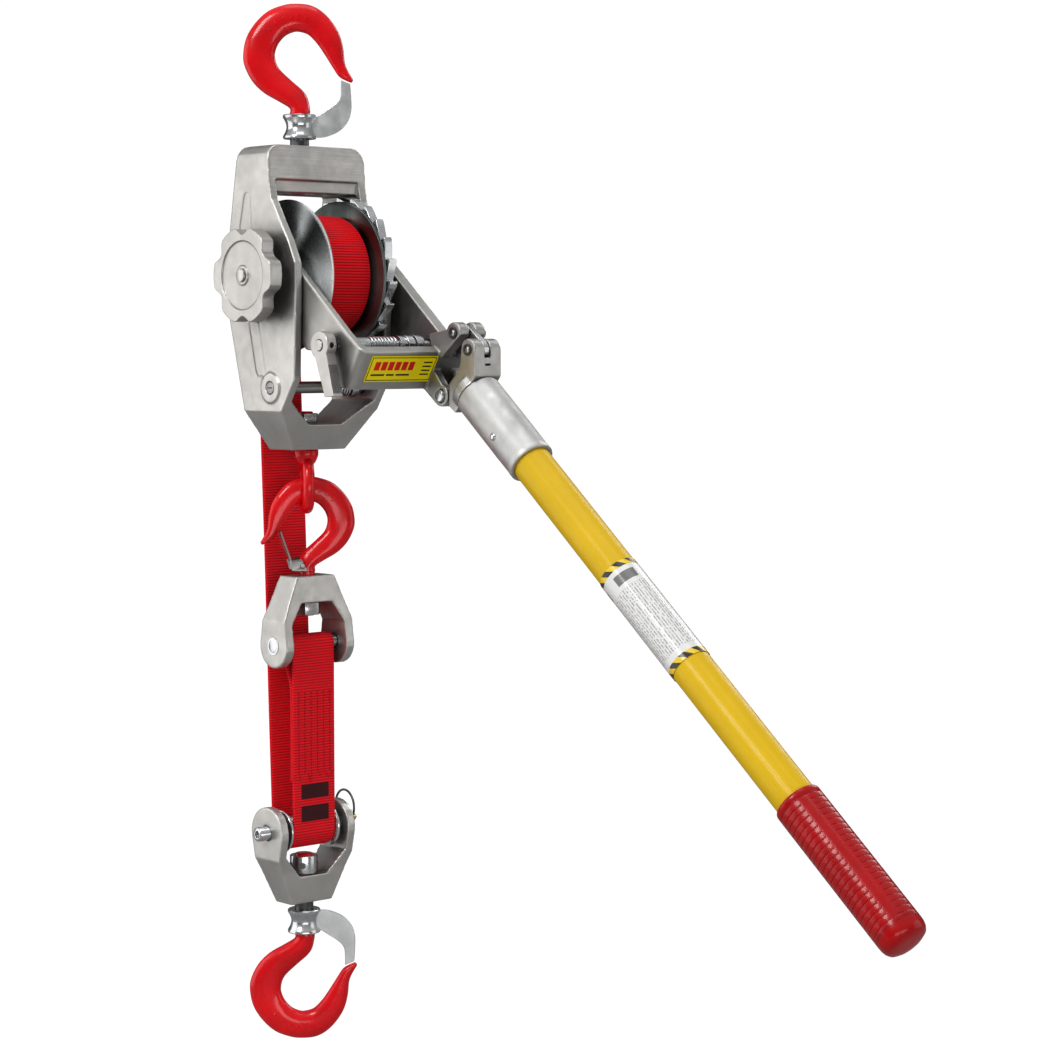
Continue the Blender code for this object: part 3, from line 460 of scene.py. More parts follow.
def ribbon(name, path, half=22.2, thick=2.5, v0=0.0, cols=16, upto=1e6):
    """A ribbed webbing band along path, a list of (y, z); v runs along the length and u across it."""
    path = resampled(path, RIB / 5, upto)
    h = thick / 2
    sect, U = [], []
    for i in range(cols + 1):
        x = -half + 0.35 + (2 * half - 0.7) * i / cols
        e = abs(x) / half
        sect.append((x, h * (1 - 0.30 * max(0, e - 0.9) / 0.1)))
        U.append(x + half)
    sect.append((half, 0))
    U.append(2 * half)
    for i in range(cols + 1):
        x = half - 0.35 - (2 * half - 0.7) * i / cols
        e = abs(x) / half
        sect.append((x, -h * (1 - 0.30 * max(0, e - 0.9) / 0.1)))
        U.append(x + half)
    sect.append((-half, 0))
    U.append(0)
    U.append(0.35)
    P, V, s = [], [], v0
    for i, p in enumerate(path):
        a, b = path[max(0, i - 1)], path[min(len(path) - 1, i + 1)]
        t = Vector((b[0] - a[0], b[1] - a[1])).normalized()
        nrm = Vector((-t.y, t.x))
        if i:
            s += math.hypot(p[0] - path[i - 1][0], p[1] - path[i - 1][1])
        V.append(s)
        k = 1 - 0.14 * (1 - abs(math.sin(math.pi * s / RIB))) ** 1.3 if s - v0 < upto else 0.95
        P.append([Vector((x, p[0] + nrm.x * d * k, p[1] + nrm.y * d * k)) for x, d in sect])
    return grid(name, P, U, V, sharp=60)


def done(ob, mat, body, *nodes):
    ob.data.materials.clear()
    ob.data.materials.append(M[mat].m)
    for p in ob.data.polygons:
        p.material_index = 0
    if body:
        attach(ob, body)
    if nodes:
        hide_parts(*nodes)
    return ob


def copy_of(node, name):
    me = NODES[node].data.copy()
    me.materials.clear()
    ob = bpy.data.objects.new(name, me)
    bpy.context.scene.collection.objects.link(ob)
    bm = bmesh.new()
    bm.from_mesh(me)
    bmesh.ops.remove_doubles(bm, verts=bm.verts[:], dist=2e-6)
    bm.to_mesh(me)
    bm.free()
    return ob


def applied(ob):
    bpy.context.view_layer.update()
    dg = bpy.context.evaluated_depsgraph_get()
    me = bpy.data.meshes.new_from_object(ob.evaluated_get(dg))
    ob.modifiers.clear()
    ob.data = me
    return ob


def casting(node, name, mat, voxel=0.9, smooth=6, extra=(), cuts=()):
    """The casting with its edges rounded as a sand casting's are."""
    ob = copy_of(node, name)
    if extra or cuts:
        for c, op in [(e, "UNION") for e in extra] + [(e, "DIFFERENCE") for e in cuts]:
            b = ob.modifiers.new("b", "BOOLEAN")
            b.operation, b.object, b.solver = op, c, "EXACT"
            applied(ob)
            bpy.data.objects.remove(c, do_unlink=True)
    r = ob.modifiers.new("r", "REMESH")
    r.mode, r.voxel_size, r.adaptivity = "VOXEL", voxel * MM, 0.0
    s = ob.modifiers.new("s", "CORRECTIVE_SMOOTH" if False else "SMOOTH")
    s.factor, s.iterations = 0.5, smooth
    applied(ob)
    for p in ob.data.polygons:
        p.use_smooth = True
    return done(ob, mat, BODY_OF[node], node)


def finer(node, name, mat, w=0.35, seg=2):
    ob = copy_of(node, name)
    bm = bmesh.new()
    bm.from_mesh(ob.data)
    bmesh.ops.dissolve_limit(bm, angle_limit=math.radians(1.0), verts=bm.verts[:], edges=bm.edges[:])
    bm.to_mesh(ob.data)
    bm.free()
    for p in ob.data.polygons:
        p.use_smooth = True
    ob.data.set_sharp_from_angle(angle=math.radians(35))
    bevel(ob, w, seg, 50)
    return done(ob, mat, BODY_OF[node], node)


# ---------------------------------------------------------------- castings
casting("frame_casting", "frame_body", "cast_milled", 0.95, 7)
casting("yoke_casting", "yoke_body", "cast_dark", 0.9, 7)
casting("handle_head", "handle_head_body", "cast_dark", 0.75, 6)
casting("anchor_clevis", "anchor_clevis_body", "cast", 0.8, 8)
casting("block_clevis", "block_clevis_body", "cast", 0.8, 8)
LP = (0, -100.5, -57.3)
casting("selector_lever", "selector_lever_body", "cast", 0.42, 4,
        extra=[revolve("t1", [(4.85, -58), (11.3, -58), (11.3, -48.5), (4.85, -48.5)], LP, X, 72, True)],
        cuts=[revolve("t2", [(0, 3), (2.3, 3), (2.3, 14), (0, 14)], (-53.2, -100.5, -57.3), (0, -1, 0), 24),
              bevel(prism("t3", [(-132, -97.4), (-98, -99.4), (-98, -112), (-132, -112)], -62, -44, bev=0), 0)])
casting("star_knob", "star_knob_body", "cast", 0.55, 7)

# ---------------------------------------------------------------- hooks
HOOK = [(-9.7, 0, 10.3, 0, 8.5), (-9.7, 5.6, 10.7, 4.3, 8.6), (-19.9, 12, 8.2, 15.8, 8.4), (-35.2, 20.9, 3.1, 23.4, 8.0), (-46.7, 32.4, -7.1, 32.4, 7.6),
        (-54.3, 47.7, -20, 45, 7.5), (-55.3, 60.4, -23.9, 57, 7.5), (-51.8, 75.7, -21.5, 67, 7.5), (-42.8, 89.8, -16, 74.5, 7.5),
        (-30.1, 101.2, -10.9, 78.3, 7.5), (-14.8, 107, -5, 80.5, 7.5), (-3.3, 108.3, -0.7, 80.8, 7.5), (10.7, 107, 5, 79.6, 7.4),
        (22.2, 101.2, 9.5, 77.6, 7.2), (32.4, 91, 14, 73.5, 6.8), (40.1, 78.3, 19.5, 67, 6.4), (43.9, 64.3, 26.5, 56.5, 5.8),
        (45.2, 51.5, 33.7, 45.1, 5.0), (47.7, 43.8, 40.1, 36.2, 4.4), (52.8, 34.9, 50.3, 31.1, 3.2)]


def hook(name, base, up, phi, scale, flip, tail, shank, k=36):
    base, up = Vector(base), Vector(up)
    u = Vector((math.cos(math.radians(phi)), -math.sin(math.radians(phi)), 0)) * (-1 if flip else 1)
    n = u.cross(up).normalized()
    P = []

    def sect(c, d, t, sq=1.0):
        out = []
        for i in range(k):
            a = 2 * math.pi * i / k
            ca, sa = math.cos(a), math.sin(a)
            out.append(c + d * (abs(ca) ** sq * (1 if ca > 0 else -1)) + n * t * (abs(sa) ** sq * (1 if sa > 0 else -1)))
        return out

    for dz, dr in ((tail, 0.9), (tail - 0.3, 0.45), (tail - 0.9, 0)):
        P.append(sect(base - up * dz, u * -(shank - dr), shank - dr))
    P.append(sect(base - up * 0.5, u * -shank, shank))
    keys = spline([h for h in HOOK], 5)
    for q, (a, b, c, d, t) in enumerate(keys):
        p, r = (a * scale, b * scale), (c * scale, d * scale)
        mid = base + u * ((p[0] + r[0]) / 2) + up * ((p[1] + r[1]) / 2)
        half = u * ((p[0] - r[0]) / 2) + up * ((p[1] - r[1]) / 2)
        w = min(1, max(0, (q - 8) / 20))
        P.append(sect(mid, half, t * scale / 0.85, 1.0 - 0.14 * w))
    a, b, c, d, t = HOOK[-1]
    mid = base + u * ((a + c) / 2 * scale) + up * ((b + d) / 2 * scale)
    half = u * ((a - c) / 2 * scale) + up * ((b - d) / 2 * scale)
    tip = (u * 0.78 - up * 0.62)
    P.append(sect(mid + tip * 0.9, half * 0.8, t * 0.8 * scale / 0.85))
    P.append(sect(mid + tip * 1.3, half * 0.4, t * 0.4 * scale / 0.85))
    return grid(name, P, sharp=50), u, n


UPV, DNV = (0, 0, 1), (0, 0, -1)


def forged_marks(tag, base, up, phi, scale, flip, body):
    """Raised plain dots and bars along the bowl, in place of forged lettering."""
    base, up = Vector(base), Vector(up)
    u = Vector((math.cos(math.radians(phi)), -math.sin(math.radians(phi)), 0)) * (-1 if flip else 1)
    n = u.cross(up).normalized()
    side = 1 if n.dot(Vector((-0.669, -0.743, 0))) > 0 else -1
    keys = spline([h for h in HOOK], 5)
    for j, q in enumerate((40, 44, 48, 52, 56, 60)):
        a, b, c, d, t = keys[q]
        mid = base + u * ((a + c) / 2 * scale) + up * ((b + d) / 2 * scale)
        along = (u * (keys[q + 1][0] + keys[q + 1][2] - a - c) + up * (keys[q + 1][1] + keys[q + 1][3] - b - d)).normalized()
        across = (u * (a - c) + up * (b - d)).normalized()
        top = mid + n * side * (t * scale / 0.85 - 0.35)
        L = 2.6 if j % 2 else 3.6
        o = prism("%s_mark_%d" % (tag, j), arc((0, L * 0.3), 1.0, 0, 180, 6) + arc((0, -L * 0.3), 1.0, 180, 360, 6), -0.3, 0.75, top, along if side > 0 else -along, across, 0.3, 2)
        mid2 = sum((v.co for v in o.data.vertices), Vector()) / len(o.data.vertices)
        done(o, "red", body)


ob, _, _ = hook("top_hook_forging", (0, 0, 136.9), UPV, 42, 0.85, False, 65.9, 7.85)
done(ob, "red", "top_hook", "top_hook")
ob, _, _ = hook("bottom_hook_forging", (0, 0, -562.0), DNV, 42, 0.85, False, 69.5, 7.85)
done(ob, "red", "bottom_hook", "bottom_hook")
ob, AU, AN = hook("anchor_hook_forging", (0, -7, -249), UPV, 30, 0.85 * 0.87, True, 38, 6.6)
done(ob, "red", "anchor_hook", "anchor_hook")
forged_marks("top", (0, 0, 136.9), UPV, 42, 0.85, False, "top_hook")
forged_marks("bottom", (0, 0, -562.0), DNV, 42, 0.85, False, "bottom_hook")
forged_marks("anchor", (0, -7, -249), UPV, 30, 0.85 * 0.87, True, "anchor_hook")


def gate(tag, base, up, node):
    base, up = Vector(base), Vector(up)
    u = Vector((math.cos(math.radians(42)), -math.sin(math.radians(42)), 0))
    prof = [(8.3, -21), (13.3, -21), (14, -20.3), (14, -18.6)] + [(14 - 3.0 * math.sin(math.pi * t / 16), -18.6 + 15.6 * t / 16) for t in range(1, 16)] + [(14, -3.0), (14, -1.3), (13.3, -0.6), (8.3, -0.6)]
    c = revolve(tag + "_collar", prof, base, up, 72, True, 40)
    done(c, "zinc", node, node)
    top = spline([(12, -4), (17, -2.6), (26, 3), (33, 7.6), (38.5, 12.6), (41, 19), (41.2, 33.2)], 5)
    low = spline([(50.6, 29.4), (51.6, 14), (51.3, 3), (47.6, -8), (39, -17), (26, -22.4), (17, -23), (12, -21)], 5)
    a = prism(tag + "_arm", [(p * 0.85, q * 0.85) for p, q in top + low], -1.5, 1.5, base, u, up, 0.7, 3)
    done(a, "satin", node)


gate("top_gate", (0, 0, 136.9), UPV, "top_gate")
gate("bottom_gate", (0, 0, -562.0), DNV, "bottom_gate")
for tag, z0, z1 in (("top", 100, 116.1), ("bottom", -541.4, -512)):
    f = revolve(tag + "_shank_sleeve", rounded([(7.88, z0), (8.06, z0), (8.06, z1), (7.88, z1)], 0.05), (0, 0, 0), UPV, 64, True)
    done(f, "dark", tag + "_hook")
for n in ("top_hook_nut", "eye_nut", "anchor_hook_nut"):
    finer(n, n + "_hex", "zinc", 0.5)
c = revolve("bottom_nut_body", rounded([(8.15, -509.6), (12, -509.6), (12, -494), (8.15, -494)], 0.9), (0, 0, 0), UPV, 64, True)
done(c, "zinc", "bottom_hook", "bottom_hook_nut")
# painted shade: short dark plugs at the nut face stand for the shade inside its three holes
holes = [tube("bottom_nut_hole_%d" % i, [Vector((0, 0, -501.8)) + d * s for s in (11.2, 12.12)], 2.6, 24, up=Z) for i, d in enumerate((Vector((0.669, 0.743, 0)) * -1, Vector((0.96, -0.28, 0)), Vector((-0.96, 0.28, 0))))]
for h in holes:
    done(h, "dark", "bottom_hook")

# ---------------------------------------------------------------- eye, latch
ea = Vector((math.sin(math.radians(30)), math.cos(math.radians(30)), 0))
en = Vector((math.cos(math.radians(30)), -math.sin(math.radians(30)), 0))
path = [Vector((0, -7, -175.4)) + ea * 16 * math.cos(2 * math.pi * i / 72) + Z * 20 * math.sin(2 * math.pi * i / 72) for i in range(72)]
e = tube("eye_ring", path, 5, 24, True, en)
done(e, "red", "anchor_hook", "swivel_eye")
e = revolve("eye_shank", [(0, -160), (5.4, -159.4), (7.6, -157), (9.2, -154), (10.4, -150.5), (10.5, -147), (10.2, -146.1), (6.3, -145.9), (6, -145), (6, -114), (5.4, -113.5), (0, -113.5)], (0, -6.5, 0), UPV, 48, sharp=60)
done(e, "red", "anchor_hook")
finer("anchor_latch", "anchor_latch_strip", "steel", 0.3)
finer("latch_pin", "latch_pin_body", "steel", 0.4)

# ---------------------------------------------------------------- drum
D = (0, DRUM_Y, 0)
f = revolve("drum_disc_left", [(10.3, -27.4), (22, -27.5), (24, -27.1), (46, -26.6), (58, -27.2), (62.6, -28.2), (63.6, -27.9), (63.75, -27.2), (62.4, -26.3), (57, -25.2), (46, -25.0), (10.3, -25.0)], D, X, 128, True, 40)
done(f, "bright", "drum", "left_flange")
f = revolve("drum_disc_right", rounded([(10.3, 25.5), (63.75, 25.5), (63.75, 28.5), (10.3, 28.5)], 0.8), D, X, 128, True, 40)
done(f, "disc", "drum", "right_flange")
f = revolve("drum_core_body", rounded([(10.3, -24.7), (22, -24.7), (22, 25.2), (10.3, 25.2)], 0.5), D, X, 64, True, 40)
done(f, "dark", "drum", "drum_core")
f = revolve("drum_shaft_body", rounded([(0, -69.6), (7.85, -69.6), (7.85, -61.2), (10, -61.2), (10, 67.8), (9.2, 68), (9.2, 69.4), (10, 69.6), (10, 71.5), (0, 71.5)], 0.7, closed=False), D, X, 64, False, 40)
done(f, "zinc", "drum", "drum_shaft")
turns, per = 10, 60
path = []
for i in range(turns * per + 1):
    t = i / per
    r = 50.4 - 2.53 * t
    a = 2 * math.pi * t
    path.append((DRUM_Y + r * math.cos(a), r * math.sin(a)))
c = ribbon("strap_coil_band", path, 22.0, 2.5, 0.0, 10, 330)
done(c, "coil", "drum", "strap_coil")
PITCH = 360 / 22


def polar(r, deg):
    t = math.radians(deg)
    return (DRUM_Y + r * math.cos(t), r * math.sin(t))


teeth = []
for k in range(22):
    t = 282.0 + k * PITCH
    teeth += [polar(61.5, t), polar(67.4, t), polar(67.4, t + 0.1 * PITCH), polar(65.6, t + 0.36 * PITCH), polar(63.6, t + 0.64 * PITCH), polar(61.9, t + 0.9 * PITCH)]
w = prism("ratchet_rim", teeth, 29, 37, bev=0.45, seg=2)
done(w, "zinc", "drum", "ratchet_wheel")
r = revolve("ratchet_face", rounded([(10.3, 28.9), (59.0, 28.9), (59.0, 37.3), (55.5, 37.3), (54.5, 36.2), (30, 36.2), (28, 38.2), (10.3, 38.2)], 0.5), D, X, 96, True)
done(r, "zinc", "drum")
s = revolve("knob_screw_head", [(0, -76.3), (4.6, -76.3), (5.2, -76.0), (5.5, -75.4), (5.5, -74.3), (0, -74.3)], D, X, 48)
done(s, "cast", "drum", "knob_screw")
finer("shaft_retaining_ring", "shaft_clip", "dark", 0.2)
finer("left_shaft_bush", "left_bush", "brass", 0.3)
finer("right_shaft_bush", "right_bush", "brass", 0.3)

# ---------------------------------------------------------------- pawls, springs and pins
for n in ("drive_pawl", "stop_pawl"):
    finer(n, n + "_body", "zinc", 0.5)


def spring(name, c, r, wire, x0, x1, turns, body, node, mat="zinc"):
    pts = [Vector((x0 + (x1 - x0) * i / (turns * 28), c[0] + r * math.cos(2 * math.pi * i / 28), c[1] + r * math.sin(2 * math.pi * i / 28))) for i in range(turns * 28 + 1)]
    done(tube(name, pts, wire, 10), mat, body, node)


spring("drive_spring_coil", (-100.5, -57.3), 6.4, 0.9, -8, 20, 8, "handle", "drive_pawl_spring")
spring("stop_spring_coil", (-26.4, -92.7), 7.2, 0.9, 14, 28, 5, "frame", "stop_pawl_spring")
P = (0, -100.5, -57.3)
f = revolve("drive_pawl_shaft_body", rounded([(0, -58.5), (4.5, -58.5), (4.5, 64), (0, 64)], 0.6, closed=False), P, X, 40)
done(f, "zinc", "drive_pawl", "drive_pawl_shaft")
f = revolve("drive_shaft_end_cap", rounded([(0, -58.75), (4.2, -58.75), (4.2, -58.4), (0, -58.4)], 0.15, closed=False), P, X, 40)
done(f, "cast", "drive_pawl")
f = revolve("pawl_collar_body", rounded([(4.8, 22), (8, 22), (8, 28.8), (4.8, 28.8)], 0.8), P, X, 48, True)
done(f, "zinc", "drive_pawl", "pawl_collar")
f = revolve("pawl_spacer_sleeve", rounded([(4.7, -34), (6.4, -34), (6.4, -9), (4.7, -9)], 0.5), P, X, 48, True)
done(f, "bright", "drive_pawl")
f = revolve("pawl_set_collar", rounded([(4.7, 38.6), (8.6, 38.6), (8.6, 46.4), (4.7, 46.4)], 0.7), P, X, 48, True)
done(f, "zinc", "drive_pawl")
finer("lever_set_screw", "lever_set_screw_body", "dark", 0.2)
# knurled thumb face of the selector lever
fa, fb = Vector((0, -112.1, -72.6)), Vector((0, -118.7, -95.8))
fl = (fb - fa)
fdn = fl.normalized()
fout = X.cross(fdn)
if fout.y > 0:
    fout = -fout
V, F = [], []
for i in range(20):
    for j in range(4):
        if i % 2 and j == 3:
            continue
        c = fa + fl * ((i + 0.5) / 20) + X * (-53.25 + (j - 1.5 + (0.5 if i % 2 else 0)) * 2.3)
        b = len(V)
        V += [c + fdn * 1.12 - fout * 0.6, c + X * 1.10 - fout * 0.6, c - fdn * 1.12 - fout * 0.6, c - X * 1.10 - fout * 0.6, c + fdn * 0.3 + fout * 0.8, c + X * 0.3 + fout * 0.8, c - fdn * 0.3 + fout * 0.8, c - X * 0.3 + fout * 0.8]
        F += [(b, b + 1, b + 2, b + 3)[::-1], (b + 4, b + 5, b + 6, b + 7)] + [(b + q, b + (q + 1) % 4, b + 4 + (q + 1) % 4, b + 4 + q) for q in range(4)]
done(obj("lever_knurling", V, F, sharp=30, merge=False), "cast", "drive_pawl")
# painted shade: a dark plate among the knurl pyramids darkens the valleys between them
V = [fa + fl * q + X * (-53.25 + w * 4.35) + fout * h for h in (-0.3, 0.06) for q, w in ((0.0, -1), (0.0, 1), (1.0, 1), (1.0, -1))]
done(obj("lever_knurl_shade_plate", V, [(3, 2, 1, 0), (4, 5, 6, 7)] + [(i, (i + 1) % 4, 4 + (i + 1) % 4, 4 + i) for i in range(4)], sharp=30), "dark", "drive_pawl")
f = revolve("stop_pawl_shaft_body", rounded([(0, -52.6), (5, -52.6), (5, 52.6), (0, 52.6)], 0.8, closed=False), (0, -26.4, -92.7), X, 40)
done(f, "steel", "frame", "stop_pawl_shaft")
# painted shade: a thin dark bar on each stop shaft end stands for the shade inside its slot
for sx in (-1, 1):
    h = prism("stop_shaft_slot_%s" % ("l" if sx < 0 else "r"), [(-3.2, -0.7), (3.2, -0.7), (3.2, 0.7), (-3.2, 0.7)], *sorted((52.5 * sx, 52.8 * sx)), (0, -26.4, -92.7), bev=0)
    done(h, "dark", "frame")
finer("fuse_link", "fuse_link_plate", "zinc", 0.5)
for n, c in (("link_pin_upper", (-154.7, -47.4)), ("link_pin_lower", (-172.8, -60.9))):
    f = revolve(n + "_body", [(0, 37), (2.6, 37), (3, 37.4), (3, 66.3), (5.3, 66.3), (5.5, 66.6), (5.5, 68.3), (4.9, 69.2), (3, 69.5), (0, 69.6)], (0, *c), X, 40, sharp=50)
    done(f, "zinc", "handle", n)
    f = revolve(n + "_clip", rounded([(3.05, 36.6), (4.6, 36.6), (4.6, 37.6), (3.05, 37.6)], 0.3), (0, *c), X, 32, True)
    done(f, "dark", "handle")
finer("pivot_pin", "pivot_pin_body", "zinc", 0.6)
for n in ("sheave_pin", "anchor_pin"):
    finer(n, n + "_body", "zinc", 0.5)
for sx in (-1, 1):
    f = revolve("anchor_pin_cap_%s" % ("l" if sx < 0 else "r"), [(0, 36.9), (4.4, 36.9), (5.6, 36.6), (6.6, 36.5), (7.5, 36.6), (7.5, 35.9), (0, 35.9)], (0, -7, -311), X * sx, 40, sharp=30)
    done(f, "zinc", "frame")
f = revolve("sheave_body", [(6.3, -26), (17.6, -26), (18.4, -25.4), (18.5, -24.4), (17.4, -23.2), (13.6, -22.8), (13, -22.3), (13, 22.3), (13.6, 22.8), (17.4, 23.2), (18.5, 24.4), (18.4, 25.4), (17.6, 26), (6.3, 26)], (0, 0, -471), X, 72, True, 50)
done(f, "zinc", "sheave", "sheave")
path = [Vector((45 + 0.9 * math.sin(2 * math.pi * i / 64), 14 * math.sin(2 * math.pi * i / 64), -457 + 14 * math.cos(2 * math.pi * i / 64))) for i in range(64)]
done(tube("split_ring_wire", path, 1.0, 10, True), "dark", "lower_block", "split_ring")
f = revolve("split_ring_bead", [(0.6, -2.6), (1.9, -2.6), (2.5, -1.6), (2.7, 0), (2.5, 1.6), (1.9, 2.6), (0.6, 2.6)], (45.5, -11.2, -465.4), (0, 0.60, -0.80), 32, True, 50)
done(f, "brass", "lower_block")

# ---------------------------------------------------------------- handle
H0 = Vector((52.0, -169.6, -97.5))
HD = Vector((0, -0.7727, -0.6347)).normalized()
f = revolve("handle_tube", [(16.6, 0.2), (18.7, 0.2), (19.4, 0.8), (19.5, 1.8), (19.5, 60), (19.2, 78), (19.5, 80), (19.5, 84), (19.1, 84.8), (18.3, 85), (16.6, 85)], H0, HD, 96, True, 50)
done(f, "tube", "handle", "handle_socket")
side = Vector((-1, 0, 0))
up2 = HD.cross(side).normalized()
for j, (s, ang) in enumerate(((52, 0),)):
    d = side * math.cos(math.radians(ang)) + (Vector((0, 0.6347, -0.7727)) * -1 if False else Vector((0, -0.6347, 0.7727))) * math.sin(math.radians(ang))
    f = revolve("socket_rivet_%d" % j, [(0, 20.9), (1.6, 20.8), (2.7, 20.3), (3.2, 19.6), (3.2, 17), (0, 17)], H0 + HD * s, d, 32, sharp=60)
    if j == 0:
        done(f, "zinc", "handle", "socket_rivet")
    else:
        f.scale = (1, 1, 1)
        done(f, "dark", "handle")
f = revolve("rod_body", [(0, 1.5), (15.6, 1.5), (16.25, 2.2)] + [(16.25, 2.2 + 585 * i / 24) for i in range(1, 25)] + [(15.6, 588), (0, 588)], H0, HD, 96, sharp=40)
done(f, "rod", "handle", "handle_rod")
rr = HD.orthogonal().normalized()
ss = HD.cross(rr)
n = 96
VV = [i * 103 / 12 for i in range(13)]
P = [[H0 + HD * (214 + a) + (rr * math.cos(2 * math.pi * i / n) + ss * math.sin(2 * math.pi * i / n)) * r for i in range(n)] for r, a in [(16.5, 0.1), (16.85, 0.0)] + [(16.9, a) for a in VV[1:-1]] + [(16.85, 103), (16.5, 102.9)]]
V = [0, 0] + VV[1:-1] + [103, 103, 103]
f = grid("handle_print_sleeve", P, [2 * math.pi * 16.9 * i / n for i in range(n + 1)], V + [0], wi=True)
done(f, "sleeve", "handle", "handle_label")

# grip: rings and a lengthwise row of ribs
n = 144
prof = [(16.4, 457), (17.6, 457), (18.5, 457.4), (18.75, 458.5), (18.75, 463)]
a = 463
while a < 578:
    prof += [(18.75, a), (18.55, a + 0.15), (18.38, a + 0.45), (18.55, a + 0.75), (18.75, a + 0.9), (18.78, a + 1.2), (18.8, a + 3.0), (18.78, a + 4.9)]
    a += 5.2
prof += [(18.8, 582), (18.6, 586), (17.9, 589), (16.4, 591.5), (13.6, 593), (9, 593.7), (4, 593.8), (0, 593.8)]
P = []
for r, s in prof:
    row = []
    for i in range(n):
        t = 2 * math.pi * i / n
        q = r
        if 466 < s < 576:
            w = (math.degrees(t)) % 120
            if w < 30:
                q = 18.78
        row.append(H0 + HD * s + (rr * math.cos(t) + ss * math.sin(t)) * max(q, 1e-4))
    P.append(row)
f = grid("handle_grip_sleeve", P, sharp=70)
done(f, "vinyl", "handle", "handle_grip")

# ---------------------------------------------------------------- yoke label
e1, e2 = X, Vector((0, -119 + 137.7, -93.5 + 62.9)).normalized()
nf = e1.cross(e2)
if nf.y > 0:
    nf = -nf
base = Vector((0, -137.7, -62.9))


def plate(name, pts, h0, h1, mat, *nodes):
    o = base
    v = [o + e1 * a + e2 * b + nf * h for h in (h0, h1) for a, b in pts]
    k = len(pts)
    f = [tuple(range(k))[::-1], tuple(range(k, 2 * k))] + [(i, (i + 1) % k, k + (i + 1) % k, k + i) for i in range(k)]
    return done(obj(name, v, f), mat, "handle", *nodes)


def slant(x0, x1, y0, y1, k=0.0):
    f = lambda x, y: (x - (-6 if x < 0 else 6) * (1 if x < 0 else -1) * 0 + (y - 5) / 23 * k * (1 if x < 0 else 1), y)
    return [f(x0, y0), f(x1, y0), f(x1, y1), f(x0, y1)]


LX0, LX1 = -31.0, 38.5
plate("label_film", rounded([(LX0, 3.6), (LX1, 3.6), (LX1, 28), (LX0, 28)], 1.2), 0.02, 0.45, "label_yellow", "yoke_label")
for j, (x0, x1, y0, y1) in enumerate(((LX0 + 1.2, LX1 - 1.2, 4.8, 5.5), (LX0 + 1.2, LX1 - 1.2, 26.1, 26.8), (LX0 + 1.2, LX0 + 1.9, 5.5, 26.1), (LX1 - 1.9, LX1 - 1.2, 5.5, 26.1))):
    plate("label_border_%d" % j, [(x0, y0), (x1, y0), (x1, y1), (x0, y1)], 0.40, 0.52, "print_black")
for j in range(6):
    x0 = LX0 + 6 + 7.1 * j
    plate("label_red_bar_%d" % j, [(x0, 9), (x0 + 5.4, 9), (x0 + 5.4, 17), (x0, 17)], 0.40, 0.55, "print_red")
for j, (x0, x1) in enumerate(((LX0 + 5, LX0 + 19), (LX0 + 21, LX0 + 29), (LX0 + 31, LX0 + 45))):
    plate("label_black_line_%d" % j, [(x0, 20.6), (x1, 20.6), (x1, 22.2), (x0, 22.2)], 0.40, 0.52, "print_black")
for j in range(4):
    plate("label_side_line_%d" % j, [(LX1 - 13.5, 9 + 3.8 * j), (LX1 - 4.5, 9 + 3.8 * j), (LX1 - 4.5, 10.3 + 3.8 * j), (LX1 - 13.5, 10.3 + 3.8 * j)], 0.40, 0.52, "print_black")

# ---------------------------------------------------------------- straps
def bez(p0, p1, p2, p3, n):
    out = []
    for i in range(n + 1):
        t = i / n
        out.append(tuple(a * (1 - t) ** 3 + 3 * b * t * (1 - t) ** 2 + 3 * c * t * t * (1 - t) + d * t ** 3 for a, b, c, d in zip(p0, p1, p2, p3)))
    return out


BP, AP = -471.0, -311.0
n = 150
path = []
for i in range(n + 1):
    t = i / n
    y = 32.80 + (14.55 - 32.80) * t
    z = 2.0 + (BP + 0.0 - 2.0) * t
    y += 0.35 * math.sin(t * 9.0) * math.sin(math.pi * t)
    path.append((y, z))
f = ribbon("strap_load_band", path, 22.2, 2.5, 0.0, 24)
done(f, "web", None, "strap_load_run")
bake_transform(f)
f = ribbon("strap_wrap_band", arc((0, BP), 14.55, 1.5, -181.5, 40), 22.2, 2.5, 471.0, 24)
done(f, "web", "lower_block", "strap_sheave_wrap")
# dead run: up from the sheave, round the anchor pin and back down, stitched to itself
front = [(-14.55, BP + (AP - BP) * i / 50) for i in range(51)]
over = arc((-7, AP), 7.55, 180, 0, 20)[1:]
down = bez((0.55, AP), (0.55, AP - 16), (-11.9, AP - 24), (-12.0, AP - 42), 16)[1:] + [(-12.0, AP - 42 - (116 - 42) * i / 24) for i in range(1, 25)]
f = ribbon("strap_dead_band", front + over + down, 22.2, 2.45, 517.0, 24)
done(f, "web", None, "strap_loop", "strap_dead_run")
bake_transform(f)


def stitch(name, x, z0, z1, yf):
    """A row of lock stitches standing just proud of the webbing face."""
    k = int((z0 - z1) / 3.2)
    V, F = [], []
    for i in range(k):
        za = z0 - 3.2 * i
        for s in range(5):
            t = s / 4
            h = 0.42 * math.sin(math.pi * t)
            c = Vector((x + 0.12 * math.sin(i * 2.1), yf - h, za - 2.5 * t))
            for q in range(6):
                a = 2 * math.pi * q / 6
                V.append(c + Vector((math.cos(a) * 0.38, math.sin(a) * 0.3, 0)))
        b = i * 30
        for s in range(4):
            for q in range(6):
                r = (q + 1) % 6
                F.append((b + s * 6 + q, b + s * 6 + r, b + s * 6 + 6 + r, b + s * 6 + 6 + q))
        F.append(tuple(b + q for q in range(6))[::-1])
        F.append(tuple(b + 24 + q for q in range(6)))
    o = obj(name, V, F, merge=False, sharp=70)
    done(o, "thread", None)
    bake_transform(o)


for j, x in enumerate((-16.5, -10, -3.4, 3.4, 10, 16.5)):
    stitch("strap_stitch_row_%d" % j, x, AP - 40, AP - 112, -15.75)
